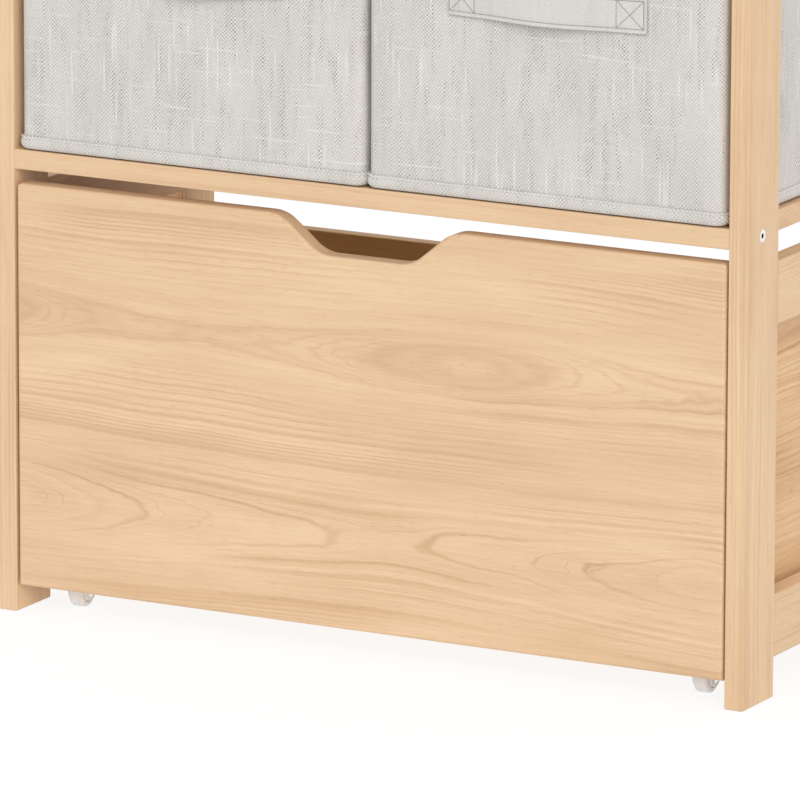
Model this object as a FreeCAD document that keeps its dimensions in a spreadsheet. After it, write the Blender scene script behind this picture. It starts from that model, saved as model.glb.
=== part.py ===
import FreeCAD, Part
import Sketcher
import math
import os

# Toy storage organizer: a bolted board frame with a rolling drawer below and two fabric bins above.
# Millimetres. The origin is on the floor midway between the four posts, the front faces -Y, +Z is up.

sizes = {
    # side frames and shelves
    "inner_width": 590,          # clear width between the two side frames
    "frame_depth": 300,
    "frame_height": 650,
    "post_thick": 15,
    "post_width": 50,
    "edge_round": 1,             # eased edges of the boards
    "rail_height": 46.5,
    "lower_rail_base": 29.5,
    "upper_rail_drop": 15.2,     # shelf underside to the upper rail
    "shelf_base": 337,           # floor to the underside of the bin shelf
    "shelf_thick": 15,
    "shelf_inset": 1,            # shelf edge behind the post faces
    "stretcher_thick": 15,
    "stretcher_height": 45,
    "stretcher_base": 30,
    # frame bolts, barrel nuts and dowels
    "bolt_diameter": 6,
    "bolt_length": 45,
    "bolt_head": 10,
    "bolt_head_height": 6,
    "socket_width": 4,           # across the flats of the hexagon socket
    "socket_depth": 4,
    "head_recess": 0.5,          # bolt head below the post face
    "bolt_clear": 0.3,
    "thread_clear": 0.05,
    "nut_diameter": 10,
    "nut_length": 12,
    "nut_reach": 30,             # board end to the barrel nut
    "dowel_diameter": 8,
    "dowel_length": 30,
    "dowel_pitch": 24,
    "dowel_clear": 0.05,
    "dowel_end_gap": 0.5,
    "stretcher_dowel_in_post": 10,
    # drawer box
    "drawer_gap": 2,             # drawer front to each post
    "drawer_ground": 20.5,       # floor to the lower edge of the drawer
    "drawer_top_gap": 10.5,      # drawer front to the shelf above it
    "front_thick": 15,
    "front_corner": 3.5,         # upper corners of the drawer front
    "notch_top": 142,            # hand notch before its corners are rounded
    "notch_bottom": 76,
    "notch_depth": 27.5,
    "notch_round": 28,
    "side_inset": 5,             # drawer side behind the end of the drawer front
    "side_thick": 12,
    "side_drop": 71,             # shelf underside to the top of the drawer sides
    "back_drop": 81.5,
    "back_thick": 12,
    "bottom_thick": 12,
    "stop_gap": 1,               # closed drawer to the rear stretcher
    "board_round": 1,            # eased edges of the drawer box boards
    # drawer fittings
    "cam_diameter": 15,
    "cam_height": 9.6,
    "cam_clear": 0.2,
    "cam_reach": 24,             # board end to the cam
    "cam_low": 75,               # floor to the lower cam
    "cam_from_top": 31,          # top of the drawer side to the upper cam
    "cam_slot": 2,
    "cam_bolt": 5,
    "cam_bolt_head": 6,
    "cam_bolt_neck": 4,
    "cam_bolt_in_front": 10,
    "peg_diameter": 6,
    "peg_length": 25,
    "peg_in_front": 10,
    "peg_spread": 180,
    "screw_diameter": 4,
    "screw_length": 38,
    "screw_head": 8,
    "screw_head_height": 2.5,
    "screw_low": 80,             # floor to the lower screw of a back corner
    "screw_from_top": 30.5,
    "screw_clear": 0.1,
    "bottom_screw_end": 75,      # end of the bottom board to its outer screws
    # casters
    "wheel_radius": 10.5,
    "wheel_width": 12.4,
    "wheel_round": 3,
    "dish_radius": 6.6,
    "dish_depth": 2,
    "hub_radius": 3.5,
    "axle_diameter": 3,
    "axle_clear": 0.05,
    "rivet_head": 5,
    "rivet_height": 0.8,
    "wheel_to_arm": 0.2,
    "arm_thick": 1.4,
    "arm_round": 5.4,
    "arm_spread": 20,            # width of a fork arm at the plate
    "caster_clear": 2,           # wheel to the plate above it
    "plate_thick": 2.5,
    "plate_width": 24,
    "plate_length": 45,
    "plate_corner": 4,
    "wheel_from_end": 38.5,      # wheel axis to the front face or the back of the drawer
    "wheel_from_post": 33.7,     # middle of the wheel to the post's inner face
    "plate_screw_x": 15,
    "plate_screw_y": 37,
    "plate_screw": 3.5,
    "plate_screw_head": 6.5,
    "plate_screw_head_height": 2,
    "plate_screw_length": 11,
    # fabric bins
    "bin_between": 4.2,          # between the two bins
    "bin_side_gap": 5.5,         # bin to the side frame
    "bin_setback": 1,            # bin front behind the post fronts
    "bin_rear_gap": 10,          # bin back to the rear of the frame
    "bin_rim_gap": 14.7,         # bin rim to the top board
    "slide_gap": 0.3,            # bin above the shelf
    "bin_corner": 10,
    "cover_thick": 1.5,
    "wall_board": 3,
    "lining_thick": 1,
    "insert_thick": 3,
    "insert_clear": 1.5,
    "hem_height": 11,
    "hem_thick": 1.6,
    "binding_height": 14,
    "binding_thick": 1,
    "strap_length": 160,
    "strap_height": 27,
    "strap_thick": 2,
    "strap_patch": 22,           # sewn end of the strap
    "strap_bow": 7,              # slack of the strap in front of the bin
    "strap_ramp": 40,
    "strap_bend": 90,
    "strap_middle": 147,         # bin underside to the middle of the strap
    "left_strap_shift": 0,       # middle of the strap from the middle of its bin
    "right_strap_shift": 4,
}

doc = FreeCAD.newDocument("toy_organizer")
sheet = doc.addObject("Spreadsheet::Sheet", "dim")
for row, (alias, size) in enumerate(sizes.items(), start=1):
    sheet.set(f"A{row}", alias.replace("_", " "))
    sheet.set(f"B{row}", str(size))
    sheet.setAlias(f"B{row}", alias)
doc.recompute()

nodes = []

# Heights and lines that several pieces share, written as sheet expressions.
shelf_mid = "(dim.shelf_base + dim.shelf_thick / 2)"
top_mid = "(dim.frame_height - dim.shelf_thick / 2)"
post_line = "((dim.frame_depth - dim.post_width) / 2)"
stretcher_bolt = "(dim.stretcher_height * 2 / 3)"
stretcher_dowel = "(dim.stretcher_height / 3)"
bolt_hole = "(dim.bolt_diameter + 2 * dim.bolt_clear)"
dowel_hole = "(dim.dowel_diameter + 2 * dim.dowel_clear)"
dowel_hole_depth = "(dim.dowel_length / 2 + dim.dowel_end_gap)"
head_depth = "(dim.bolt_head_height + dim.head_recess)"
bolt_in_board = "(dim.bolt_length + dim.bolt_head_height + dim.head_recess - dim.post_thick)"
rail_dowels = ["(dim.rail_height + dim.dowel_pitch) / 2", "(dim.rail_height - dim.dowel_pitch) / 2"]
rail_bases = {
    "lower": "dim.lower_rail_base",
    "upper": "(dim.shelf_base - dim.upper_rail_drop - dim.rail_height)",
}
front_height = "(dim.shelf_base - dim.drawer_top_gap - dim.drawer_ground)"
side_top = "(dim.shelf_base - dim.side_drop)"
back_top = "(dim.shelf_base - dim.back_drop)"
drawer_face = "(-dim.frame_depth / 2)"
front_rear = "(-dim.frame_depth / 2 + dim.front_thick)"
drawer_rear = f"({post_line} - dim.stretcher_thick / 2 - dim.stop_gap)"
back_front = f"({drawer_rear} - dim.back_thick)"
side_outer = "(dim.inner_width / 2 - dim.drawer_gap - dim.side_inset)"
side_inner = f"({side_outer} - dim.side_thick)"
side_mid = f"({side_outer} - dim.side_thick / 2)"
plate_base = "(2 * dim.wheel_radius + dim.caster_clear)"
bottom_base = f"({plate_base} + dim.plate_thick)"
bottom_mid = f"({bottom_base} + dim.bottom_thick / 2)"
screw_hole = "(dim.screw_diameter + 2 * dim.screw_clear)"
screw_sink = "(dim.screw_head + 2 * dim.screw_clear)"
screw_sink_depth = "(dim.screw_head_height + dim.screw_clear)"
bin_base = "(dim.shelf_base + dim.shelf_thick + dim.slide_gap)"
bin_front = "(-dim.frame_depth / 2 + dim.bin_setback)"
bin_width = "((dim.inner_width - dim.bin_between) / 2 - dim.bin_side_gap)"
bin_depth = "(dim.frame_depth - dim.bin_setback - dim.bin_rear_gap)"
bin_height = f"(dim.frame_height - dim.shelf_thick - dim.bin_rim_gap - {bin_base})"
wall_top = f"({bin_height} - dim.binding_thick)"
board_offset = "(dim.cover_thick + dim.wall_board)"
wall_total = f"({board_offset} + dim.lining_thick)"
arm_inner = "(dim.wheel_width / 2 + dim.wheel_to_arm)"
arm_outer = f"({arm_inner} + dim.arm_thick)"


def value(text):
    return float(sheet.evalExpression(text.replace("dim.", "")))


def point(x, y, z):
    return FreeCAD.Vector(value(x), value(y), value(z))


def place(thing, x, y, z):
    for axis, text in zip("xyz", (x, y, z)):
        thing.setExpression("Placement.Base." + axis, text)


def new_body(label, is_node=True):
    body = doc.addObject("PartDesign::Body", label)
    body.Label = label
    if is_node:
        nodes.append(body)
    return body


def origin_part(body, role):
    return [part for part in body.Origin.OriginFeatures if part.Role == role][0]


def new_sketch(body, role, lift="0"):
    sketch = body.newObject("Sketcher::SketchObject", body.Name + "_sketch")
    sketch.AttachmentSupport = [(origin_part(body, role), "")]
    sketch.MapMode = "FlatFace"
    sketch.setExpression("AttachmentOffset.Base.z", lift)
    return sketch


def tie(sketch, kind, geometry, vertex, text):
    number = sketch.addConstraint(Sketcher.Constraint(kind, -1, 1, geometry, vertex, value(text)))
    sketch.setExpression(f"Constraints[{number}]", text)


def tie_radius(sketch, geometry, text):
    number = sketch.addConstraint(Sketcher.Constraint("Radius", geometry, value(text)))
    sketch.setExpression(f"Constraints[{number}]", text)


def draw_polygon(sketch, corners):
    spots = [point(u, v, "0") for u, v in corners]
    count = len(spots)
    lines = []
    for number in range(count):
        lines.append(sketch.addGeometry(Part.LineSegment(spots[number], spots[(number + 1) % count])))
    for number in range(count):
        following = lines[(number + 1) % count]
        sketch.addConstraint(Sketcher.Constraint("Coincident", lines[number], 2, following, 1))
    for line, (u, v) in zip(lines, corners):
        tie(sketch, "DistanceX", line, 1, u)
        tie(sketch, "DistanceY", line, 1, v)


def draw_box(sketch, half_u, low_v, high_v):
    draw_polygon(sketch, [(f"-({half_u})", low_v), (half_u, low_v), (half_u, high_v), (f"-({half_u})", high_v)])


def draw_circles(sketch, spots, diameter):
    for u, v in spots:
        circle = Part.Circle(point(u, v, "0"), FreeCAD.Vector(0, 0, 1), value(diameter) / 2)
        geometry = sketch.addGeometry(circle)
        tie(sketch, "DistanceX", geometry, 3, u)
        tie(sketch, "DistanceY", geometry, 3, v)
        tie_radius(sketch, geometry, f"({diameter}) / 2")


def draw_rounded_box(sketch, half_u, half_v, corner):
    u, v, r = value(half_u), value(half_v), value(corner)
    vector = FreeCAD.Vector
    up = vector(0, 0, 1)
    signs = [(1, -1), (1, 1), (-1, 1), (-1, -1)]
    turns = [-90, 0, 90, 180]
    ends = [
        (vector(r - u, -v), vector(u - r, -v)),
        (vector(u, r - v), vector(u, v - r)),
        (vector(u - r, v), vector(r - u, v)),
        (vector(-u, v - r), vector(-u, r - v)),
    ]
    lines = [sketch.addGeometry(Part.LineSegment(*pair)) for pair in ends]
    arcs = []
    for (sign_u, sign_v), turn in zip(signs, turns):
        circle = Part.Circle(vector(sign_u * (u - r), sign_v * (v - r)), up, r)
        start = math.radians(turn)
        arcs.append(sketch.addGeometry(Part.ArcOfCircle(circle, start, start + math.pi / 2)))
    for number, arc in enumerate(arcs):
        sketch.addConstraint(Sketcher.Constraint("Tangent", lines[number], 2, arc, 1))
        sketch.addConstraint(Sketcher.Constraint("Tangent", arc, 2, lines[(number + 1) % 4], 1))
    tie(sketch, "DistanceY", lines[0], 1, f"-({half_v})")
    tie(sketch, "DistanceX", lines[1], 1, half_u)
    tie(sketch, "DistanceY", lines[2], 1, half_v)
    tie(sketch, "DistanceX", lines[3], 1, f"-({half_u})")
    for line, direction in zip(lines, ("Horizontal", "Vertical", "Horizontal", "Vertical")):
        sketch.addConstraint(Sketcher.Constraint(direction, line))
    tie_radius(sketch, arcs[0], corner)
    for arc in arcs[1:]:
        sketch.addConstraint(Sketcher.Constraint("Equal", arcs[0], arc))


def pad(body, sketch, length, symmetric=False, reverse=False):
    feature = body.newObject("PartDesign::Pad", body.Name + "_pad")
    feature.Profile = sketch
    feature.setExpression("Length", length)
    feature.SideType = "Symmetric" if symmetric else "One side"
    feature.Reversed = reverse
    sketch.Visibility = False
    return feature


def pocket(body, sketch, depth=None, reverse=False):
    feature = body.newObject("PartDesign::Pocket", body.Name + "_pocket")
    feature.Profile = sketch
    if depth is None:
        feature.Type = "ThroughAll"
        feature.SideType = "Symmetric"
    else:
        feature.setExpression("Length", depth)
    feature.Reversed = reverse
    return feature


def drill(body, role, lift, spots, diameter, depth=None, reverse=False):
    sketch = new_sketch(body, role, lift)
    draw_circles(sketch, spots, diameter)
    return pocket(body, sketch, depth, reverse)


def mirror(body, features, role):
    feature = body.newObject("PartDesign::Mirrored", body.Name + "_mirror")
    feature.Originals = features
    feature.MirrorPlane = (origin_part(body, role), [""])
    body.Tip = feature
    return feature


def revolve(body, corners):
    sketch = new_sketch(body, "XZ_Plane")
    draw_polygon(sketch, corners)
    feature = body.newObject("PartDesign::Revolution", body.Name + "_turned")
    feature.Profile = sketch
    feature.ReferenceAxis = (sketch, ["H_Axis"])
    feature.Angle = 360
    return feature


def edge_names(feature, chosen):
    return [f"Edge{number}" for number, edge in enumerate(feature.Shape.Edges, start=1) if chosen(edge)]


def round_edges(body, radius, chosen):
    doc.recompute()
    base = body.Tip
    feature = body.newObject("PartDesign::Fillet", body.Name + "_round")
    feature.Base = (base, edge_names(base, chosen))
    feature.setExpression("Radius", radius)


def chamfer_edges(body, size, chosen):
    doc.recompute()
    base = body.Tip
    feature = body.newObject("PartDesign::Chamfer", body.Name + "_chamfer")
    feature.Base = (base, edge_names(base, chosen))
    feature.setExpression("Size", size)


def is_circle(edge):
    return edge.Curve.TypeId == "Part::GeomCircle"


def runs_along(edge, axis):
    direction = edge.lastVertex().Point - edge.firstVertex().Point
    return abs(abs(direction.normalize().dot(axis)) - 1) < 1e-6


axis_x = FreeCAD.Vector(1, 0, 0)
axis_y = FreeCAD.Vector(0, 1, 0)
axis_z = FreeCAD.Vector(0, 0, 1)
upright = FreeCAD.Rotation()
along_x = FreeCAD.Rotation()
along_minus_x = FreeCAD.Rotation(axis_z, 180)
along_y = FreeCAD.Rotation(axis_z, 90)
along_minus_y = FreeCAD.Rotation(axis_z, -90)
along_z = FreeCAD.Rotation(axis_y, -90)


def group(label, master, places):
    # One node that holds a copy of the master piece at each place.
    doc.recompute()
    copies = []
    for spot, turn in places:
        copy = master.Shape.copy()
        copy.Placement = FreeCAD.Placement(spot, turn)
        copies.append(copy)
    holder = doc.addObject("Part::Feature", label)
    holder.Label = label
    holder.Shape = Part.makeCompound(copies)
    nodes.append(holder)


sides = {"left": -1, "right": 1}
ends = {"front": -1, "rear": 1}


# Frame: four posts, four side rails, two shelves and the rear stretcher.

def make_post(end, side):
    out, back = sides[side], ends[end]
    body = new_body(f"{end}_{side}_post")
    place(body, f"{out} * (dim.inner_width + dim.post_thick) / 2", f"{back} * {post_line}", "0")
    sketch = new_sketch(body, "XY_Plane")
    draw_box(sketch, "dim.post_thick / 2", "-dim.post_width / 2", "dim.post_width / 2")
    pad(body, sketch, "dim.frame_height")
    round_edges(body, "dim.edge_round", lambda edge: True)
    bolt_spots = [("0", shelf_mid), ("0", top_mid)]
    if end == "rear":
        bolt_spots.append(("0", f"dim.stretcher_base + {stretcher_bolt}"))
        drill(body, "YZ_Plane", f"{-out} * dim.post_thick / 2", [("0", f"dim.stretcher_base + {stretcher_dowel}")],
              dowel_hole, "dim.stretcher_dowel_in_post + dim.dowel_end_gap", reverse=out > 0)
    drill(body, "YZ_Plane", "0", bolt_spots, bolt_hole)
    drill(body, "YZ_Plane", f"{out} * dim.post_thick / 2", bolt_spots,
          "dim.bolt_head + 2 * dim.bolt_clear", head_depth, reverse=out < 0)
    dowel_spots = []
    for base in rail_bases.values():
        dowel_spots += [("0", f"{base} + {height}") for height in rail_dowels]
    drill(body, "XZ_Plane", f"{back} * dim.post_width / 2", dowel_spots,
          dowel_hole, dowel_hole_depth, reverse=back < 0)


def make_rail(level, side):
    body = new_body(f"{side}_{level}_rail")
    place(body, f"{sides[side]} * (dim.inner_width + dim.post_thick) / 2", "0", rail_bases[level])
    half = "(dim.frame_depth / 2 - dim.post_width)"
    sketch = new_sketch(body, "XY_Plane")
    draw_box(sketch, "dim.post_thick / 2", f"-{half}", half)
    pad(body, sketch, "dim.rail_height")
    round_edges(body, "dim.edge_round", lambda edge: runs_along(edge, axis_y))
    holes = drill(body, "XZ_Plane", half, [("0", height) for height in rail_dowels], dowel_hole, dowel_hole_depth)
    mirror(body, [holes], "XZ_Plane")


def make_shelf(label, base):
    body = new_body(label)
    place(body, "0", "0", base)
    half_depth = "(dim.frame_depth / 2 - dim.shelf_inset)"
    sketch = new_sketch(body, "XY_Plane")
    draw_box(sketch, "dim.inner_width / 2", f"-{half_depth}", half_depth)
    pad(body, sketch, "dim.shelf_thick")
    round_edges(body, "dim.edge_round", lambda edge: runs_along(edge, axis_x))
    nut_x = "dim.inner_width / 2 - dim.nut_reach"
    bolts = drill(body, "YZ_Plane", "dim.inner_width / 2",
                  [(f"-{post_line}", "dim.shelf_thick / 2"), (post_line, "dim.shelf_thick / 2")],
                  bolt_hole, f"{bolt_in_board} + dim.bolt_clear")
    nuts = drill(body, "XY_Plane", "0", [(nut_x, f"-{post_line}"), (nut_x, post_line)],
                 "dim.nut_diameter + 2 * dim.bolt_clear",
                 "(dim.shelf_thick + dim.nut_length) / 2 + dim.bolt_clear", reverse=True)
    mirror(body, [bolts, nuts], "YZ_Plane")


def make_stretcher():
    body = new_body("rear_stretcher")
    place(body, "0", post_line, "dim.stretcher_base")
    sketch = new_sketch(body, "XY_Plane")
    draw_box(sketch, "dim.inner_width / 2", "-dim.stretcher_thick / 2", "dim.stretcher_thick / 2")
    pad(body, sketch, "dim.stretcher_height")
    round_edges(body, "dim.edge_round", lambda edge: runs_along(edge, axis_x))
    bolts = drill(body, "YZ_Plane", "dim.inner_width / 2", [("0", stretcher_bolt)],
                  bolt_hole, f"{bolt_in_board} + dim.bolt_clear")
    dowels = drill(body, "YZ_Plane", "dim.inner_width / 2", [("0", stretcher_dowel)], dowel_hole,
                   "dim.dowel_length - dim.stretcher_dowel_in_post + dim.dowel_end_gap")
    nuts = drill(body, "XZ_Plane", "-dim.stretcher_thick / 2",
                 [("dim.inner_width / 2 - dim.nut_reach", stretcher_bolt)],
                 "dim.nut_diameter + 2 * dim.bolt_clear",
                 "(dim.stretcher_thick + dim.nut_length) / 2 + dim.bolt_clear", reverse=True)
    mirror(body, [bolts, dowels, nuts], "YZ_Plane")


def make_frame_hardware():
    # The bolt's axis is its own X axis, with the outer face of the head at zero and the shank along +X.
    bolt = new_body("frame_bolt_master", is_node=False)
    head_end = "dim.bolt_head_height"
    tip = "dim.bolt_head_height + dim.bolt_length"
    revolve(bolt, [("0", "0"), ("0", "dim.bolt_head / 2"), (head_end, "dim.bolt_head / 2"),
                   (head_end, "dim.bolt_diameter / 2"), (tip, "dim.bolt_diameter / 2"), (tip, "0")])
    hexagon = []
    for number in range(6):
        turn = f"{60 * number} deg"
        reach = "dim.socket_width / 2 / cos(30 deg)"
        hexagon.append((f"{reach} * cos({turn})", f"{reach} * sin({turn})"))
    sketch = new_sketch(bolt, "YZ_Plane")
    draw_polygon(sketch, hexagon)
    pocket(bolt, sketch, "dim.socket_depth", reverse=True)

    # The barrel nut stands along Z, with the cross bore for the bolt along X through its middle.
    nut = new_body("barrel_nut_master", is_node=False)
    sketch = new_sketch(nut, "XY_Plane")
    draw_circles(sketch, [("0", "0")], "dim.nut_diameter")
    pad(nut, sketch, "dim.nut_length", symmetric=True)
    drill(nut, "YZ_Plane", "0", [("0", "0")], "dim.bolt_diameter + 2 * dim.thread_clear")

    dowel = new_body("frame_dowel_master", is_node=False)
    sketch = new_sketch(dowel, "YZ_Plane")
    draw_circles(sketch, [("0", "0")], "dim.dowel_diameter")
    pad(dowel, sketch, "dim.dowel_length", symmetric=True)
    chamfer_edges(dowel, "dim.dowel_diameter / 8", is_circle)

    lay_flat = FreeCAD.Rotation(axis_x, 90)
    bolts, nuts, dowels = [], [], []
    for out in sides.values():
        inward = along_minus_x if out > 0 else along_x
        head_x = f"{out} * (dim.inner_width / 2 + dim.post_thick - dim.head_recess)"
        nut_x = f"{out} * (dim.inner_width / 2 - dim.nut_reach)"
        for height in (shelf_mid, top_mid):
            for back in ends.values():
                bolts.append((point(head_x, f"{back} * {post_line}", height), inward))
                nuts.append((point(nut_x, f"{back} * {post_line}", height), upright))
        height = f"dim.stretcher_base + {stretcher_bolt}"
        bolts.append((point(head_x, post_line, height), inward))
        nuts.append((point(nut_x, post_line, height), lay_flat))
        dowel_x = f"{out} * (dim.inner_width / 2 + dim.stretcher_dowel_in_post - dim.dowel_length / 2)"
        dowels.append((point(dowel_x, post_line, f"dim.stretcher_base + {stretcher_dowel}"), along_x))
        rail_x = f"{out} * (dim.inner_width + dim.post_thick) / 2"
        for back in ends.values():
            joint_y = f"{back} * (dim.frame_depth / 2 - dim.post_width)"
            for base in rail_bases.values():
                for height in rail_dowels:
                    dowels.append((point(rail_x, joint_y, f"{base} + {height}"), along_y))
    group("frame_bolts", bolt, bolts)
    group("barrel_nuts", nut, nuts)
    group("frame_dowels", dowel, dowels)


# Drawer: front with the hand notch, two sides, back and bottom.

cam_high = f"({side_top} - dim.cam_from_top)"
cam_heights = ["dim.cam_low", cam_high]
peg_height = f"((dim.cam_low + {cam_high}) / 2)"
back_screw_heights = ["dim.screw_low", f"({back_top} - dim.screw_from_top)"]
bottom_screw_y = [f"({front_rear} + dim.bottom_screw_end)", f"({back_front} - dim.bottom_screw_end)"]
bottom_screw_x = ["-dim.peg_spread", "0", "dim.peg_spread"]
peg_hole = "(dim.peg_diameter + 2 * dim.dowel_clear)"
peg_in_board = "(dim.peg_length - dim.peg_in_front + dim.dowel_end_gap)"
peg_in_front = "(dim.peg_in_front + dim.dowel_end_gap)"
cam_bolt_hole = "(dim.cam_bolt_head + 2 * dim.cam_clear)"


def make_drawer_front():
    body = new_body("drawer_front")
    place(body, "0", f"{drawer_face} + dim.front_thick / 2", "dim.drawer_ground")
    half = "(dim.inner_width / 2 - dim.drawer_gap)"
    notch_low = f"({front_height} - dim.notch_depth)"
    sketch = new_sketch(body, "XZ_Plane")
    draw_polygon(sketch, [
        (f"-{half}", "0"), (half, "0"), (half, front_height),
        ("dim.notch_top / 2", front_height), ("dim.notch_bottom / 2", notch_low),
        ("-dim.notch_bottom / 2", notch_low), ("-dim.notch_top / 2", front_height),
        (f"-{half}", front_height),
    ])
    pad(body, sketch, "dim.front_thick", symmetric=True)
    notch_reach = value("(dim.notch_top + dim.inner_width / 2) / 2")
    round_edges(body, "dim.notch_round",
                lambda edge: runs_along(edge, axis_y) and abs(edge.CenterOfMass.x) < notch_reach)
    middle = value(f"{front_height} / 2")
    round_edges(body, "dim.front_corner",
                lambda edge: runs_along(edge, axis_y) and abs(edge.CenterOfMass.x) > notch_reach
                and edge.CenterOfMass.z > middle)
    face_y = value("dim.front_thick / 2")
    round_edges(body, "dim.edge_round", lambda edge: abs(abs(edge.CenterOfMass.y) - face_y) < 1e-6)
    rear = "-dim.front_thick / 2"
    lift = "dim.drawer_ground"
    bolts = [(f"{out} * {side_mid}", f"{height} - {lift}") for out in sides.values() for height in cam_heights]
    pegs = [(f"{out} * {side_mid}", f"{peg_height} - {lift}") for out in sides.values()]
    pegs += [(x, f"{bottom_mid} - {lift}") for x in bottom_screw_x]
    drill(body, "XZ_Plane", rear, bolts, "dim.cam_bolt + 2 * dim.thread_clear",
          "dim.cam_bolt_in_front + dim.dowel_end_gap", reverse=True)
    drill(body, "XZ_Plane", rear, pegs, peg_hole, peg_in_front, reverse=True)


def make_drawer_side(side):
    out = sides[side]
    body = new_body(f"drawer_{side}_side")
    place(body, f"{out} * {side_mid}", "0", "0")
    sketch = new_sketch(body, "YZ_Plane")
    draw_polygon(sketch, [(front_rear, "dim.drawer_ground"), (drawer_rear, "dim.drawer_ground"),
                          (drawer_rear, side_top), (front_rear, side_top)])
    pad(body, sketch, "dim.side_thick", symmetric=True)
    round_edges(body, "dim.board_round", lambda edge: runs_along(edge, axis_y))
    drill(body, "XZ_Plane", f"-{front_rear}", [("0", height) for height in cam_heights],
          cam_bolt_hole, "dim.cam_reach", reverse=False)
    drill(body, "XZ_Plane", f"-{front_rear}", [("0", peg_height)], peg_hole, peg_in_board, reverse=False)
    cams = [(f"{front_rear} + dim.cam_reach", height) for height in cam_heights]
    drill(body, "YZ_Plane", f"{-out} * dim.side_thick / 2", cams, "dim.cam_diameter + 2 * dim.cam_clear",
          "dim.cam_height + dim.cam_clear", reverse=out > 0)
    screws = [(f"{drawer_rear} - dim.back_thick / 2", height) for height in back_screw_heights]
    screws += [(y, bottom_mid) for y in bottom_screw_y]
    drill(body, "YZ_Plane", "0", screws, screw_hole)
    drill(body, "YZ_Plane", f"{out} * dim.side_thick / 2", screws, screw_sink, screw_sink_depth, reverse=out < 0)


def make_drawer_back():
    body = new_body("drawer_back")
    place(body, "0", f"{drawer_rear} - dim.back_thick / 2", "0")
    sketch = new_sketch(body, "XZ_Plane")
    draw_box(sketch, side_inner, "dim.drawer_ground", back_top)
    pad(body, sketch, "dim.back_thick", symmetric=True)
    round_edges(body, "dim.board_round", lambda edge: runs_along(edge, axis_x))
    pilots = drill(body, "YZ_Plane", side_inner, [("0", height) for height in back_screw_heights],
                   screw_hole, "dim.screw_length + dim.dowel_end_gap - dim.side_thick + dim.screw_head_height")
    mirror(body, [pilots], "YZ_Plane")
    screws = [(x, bottom_mid) for x in bottom_screw_x]
    drill(body, "XZ_Plane", "0", screws, screw_hole)
    drill(body, "XZ_Plane", "-dim.back_thick / 2", screws, screw_sink, screw_sink_depth, reverse=True)


def make_drawer_bottom():
    body = new_body("drawer_bottom")
    place(body, "0", "0", bottom_base)
    sketch = new_sketch(body, "XY_Plane")
    draw_box(sketch, side_inner, front_rear, back_front)
    pad(body, sketch, "dim.bottom_thick")
    mid = "dim.bottom_thick / 2"
    pilot_depth = "dim.screw_length + dim.dowel_end_gap - {} + dim.screw_head_height"
    pilots = drill(body, "YZ_Plane", side_inner, [(y, mid) for y in bottom_screw_y],
                   screw_hole, pilot_depth.format("dim.side_thick"))
    mirror(body, [pilots], "YZ_Plane")
    drill(body, "XZ_Plane", f"-{back_front}", [(x, mid) for x in bottom_screw_x],
          screw_hole, pilot_depth.format("dim.back_thick"), reverse=True)
    drill(body, "XZ_Plane", f"-{front_rear}", [(x, mid) for x in bottom_screw_x], peg_hole, peg_in_board)
    plate_holes = []
    for x, y in caster_spots().values():
        for out in sides.values():
            for back in ends.values():
                plate_holes.append((f"{x} + {out} * dim.plate_screw_x / 2", f"{y} + {back} * dim.plate_screw_y / 2"))
    drill(body, "XY_Plane", "0", plate_holes, "dim.plate_screw + 2 * dim.thread_clear",
          "dim.plate_screw_length - dim.plate_thick + dim.thread_clear", reverse=True)


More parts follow.
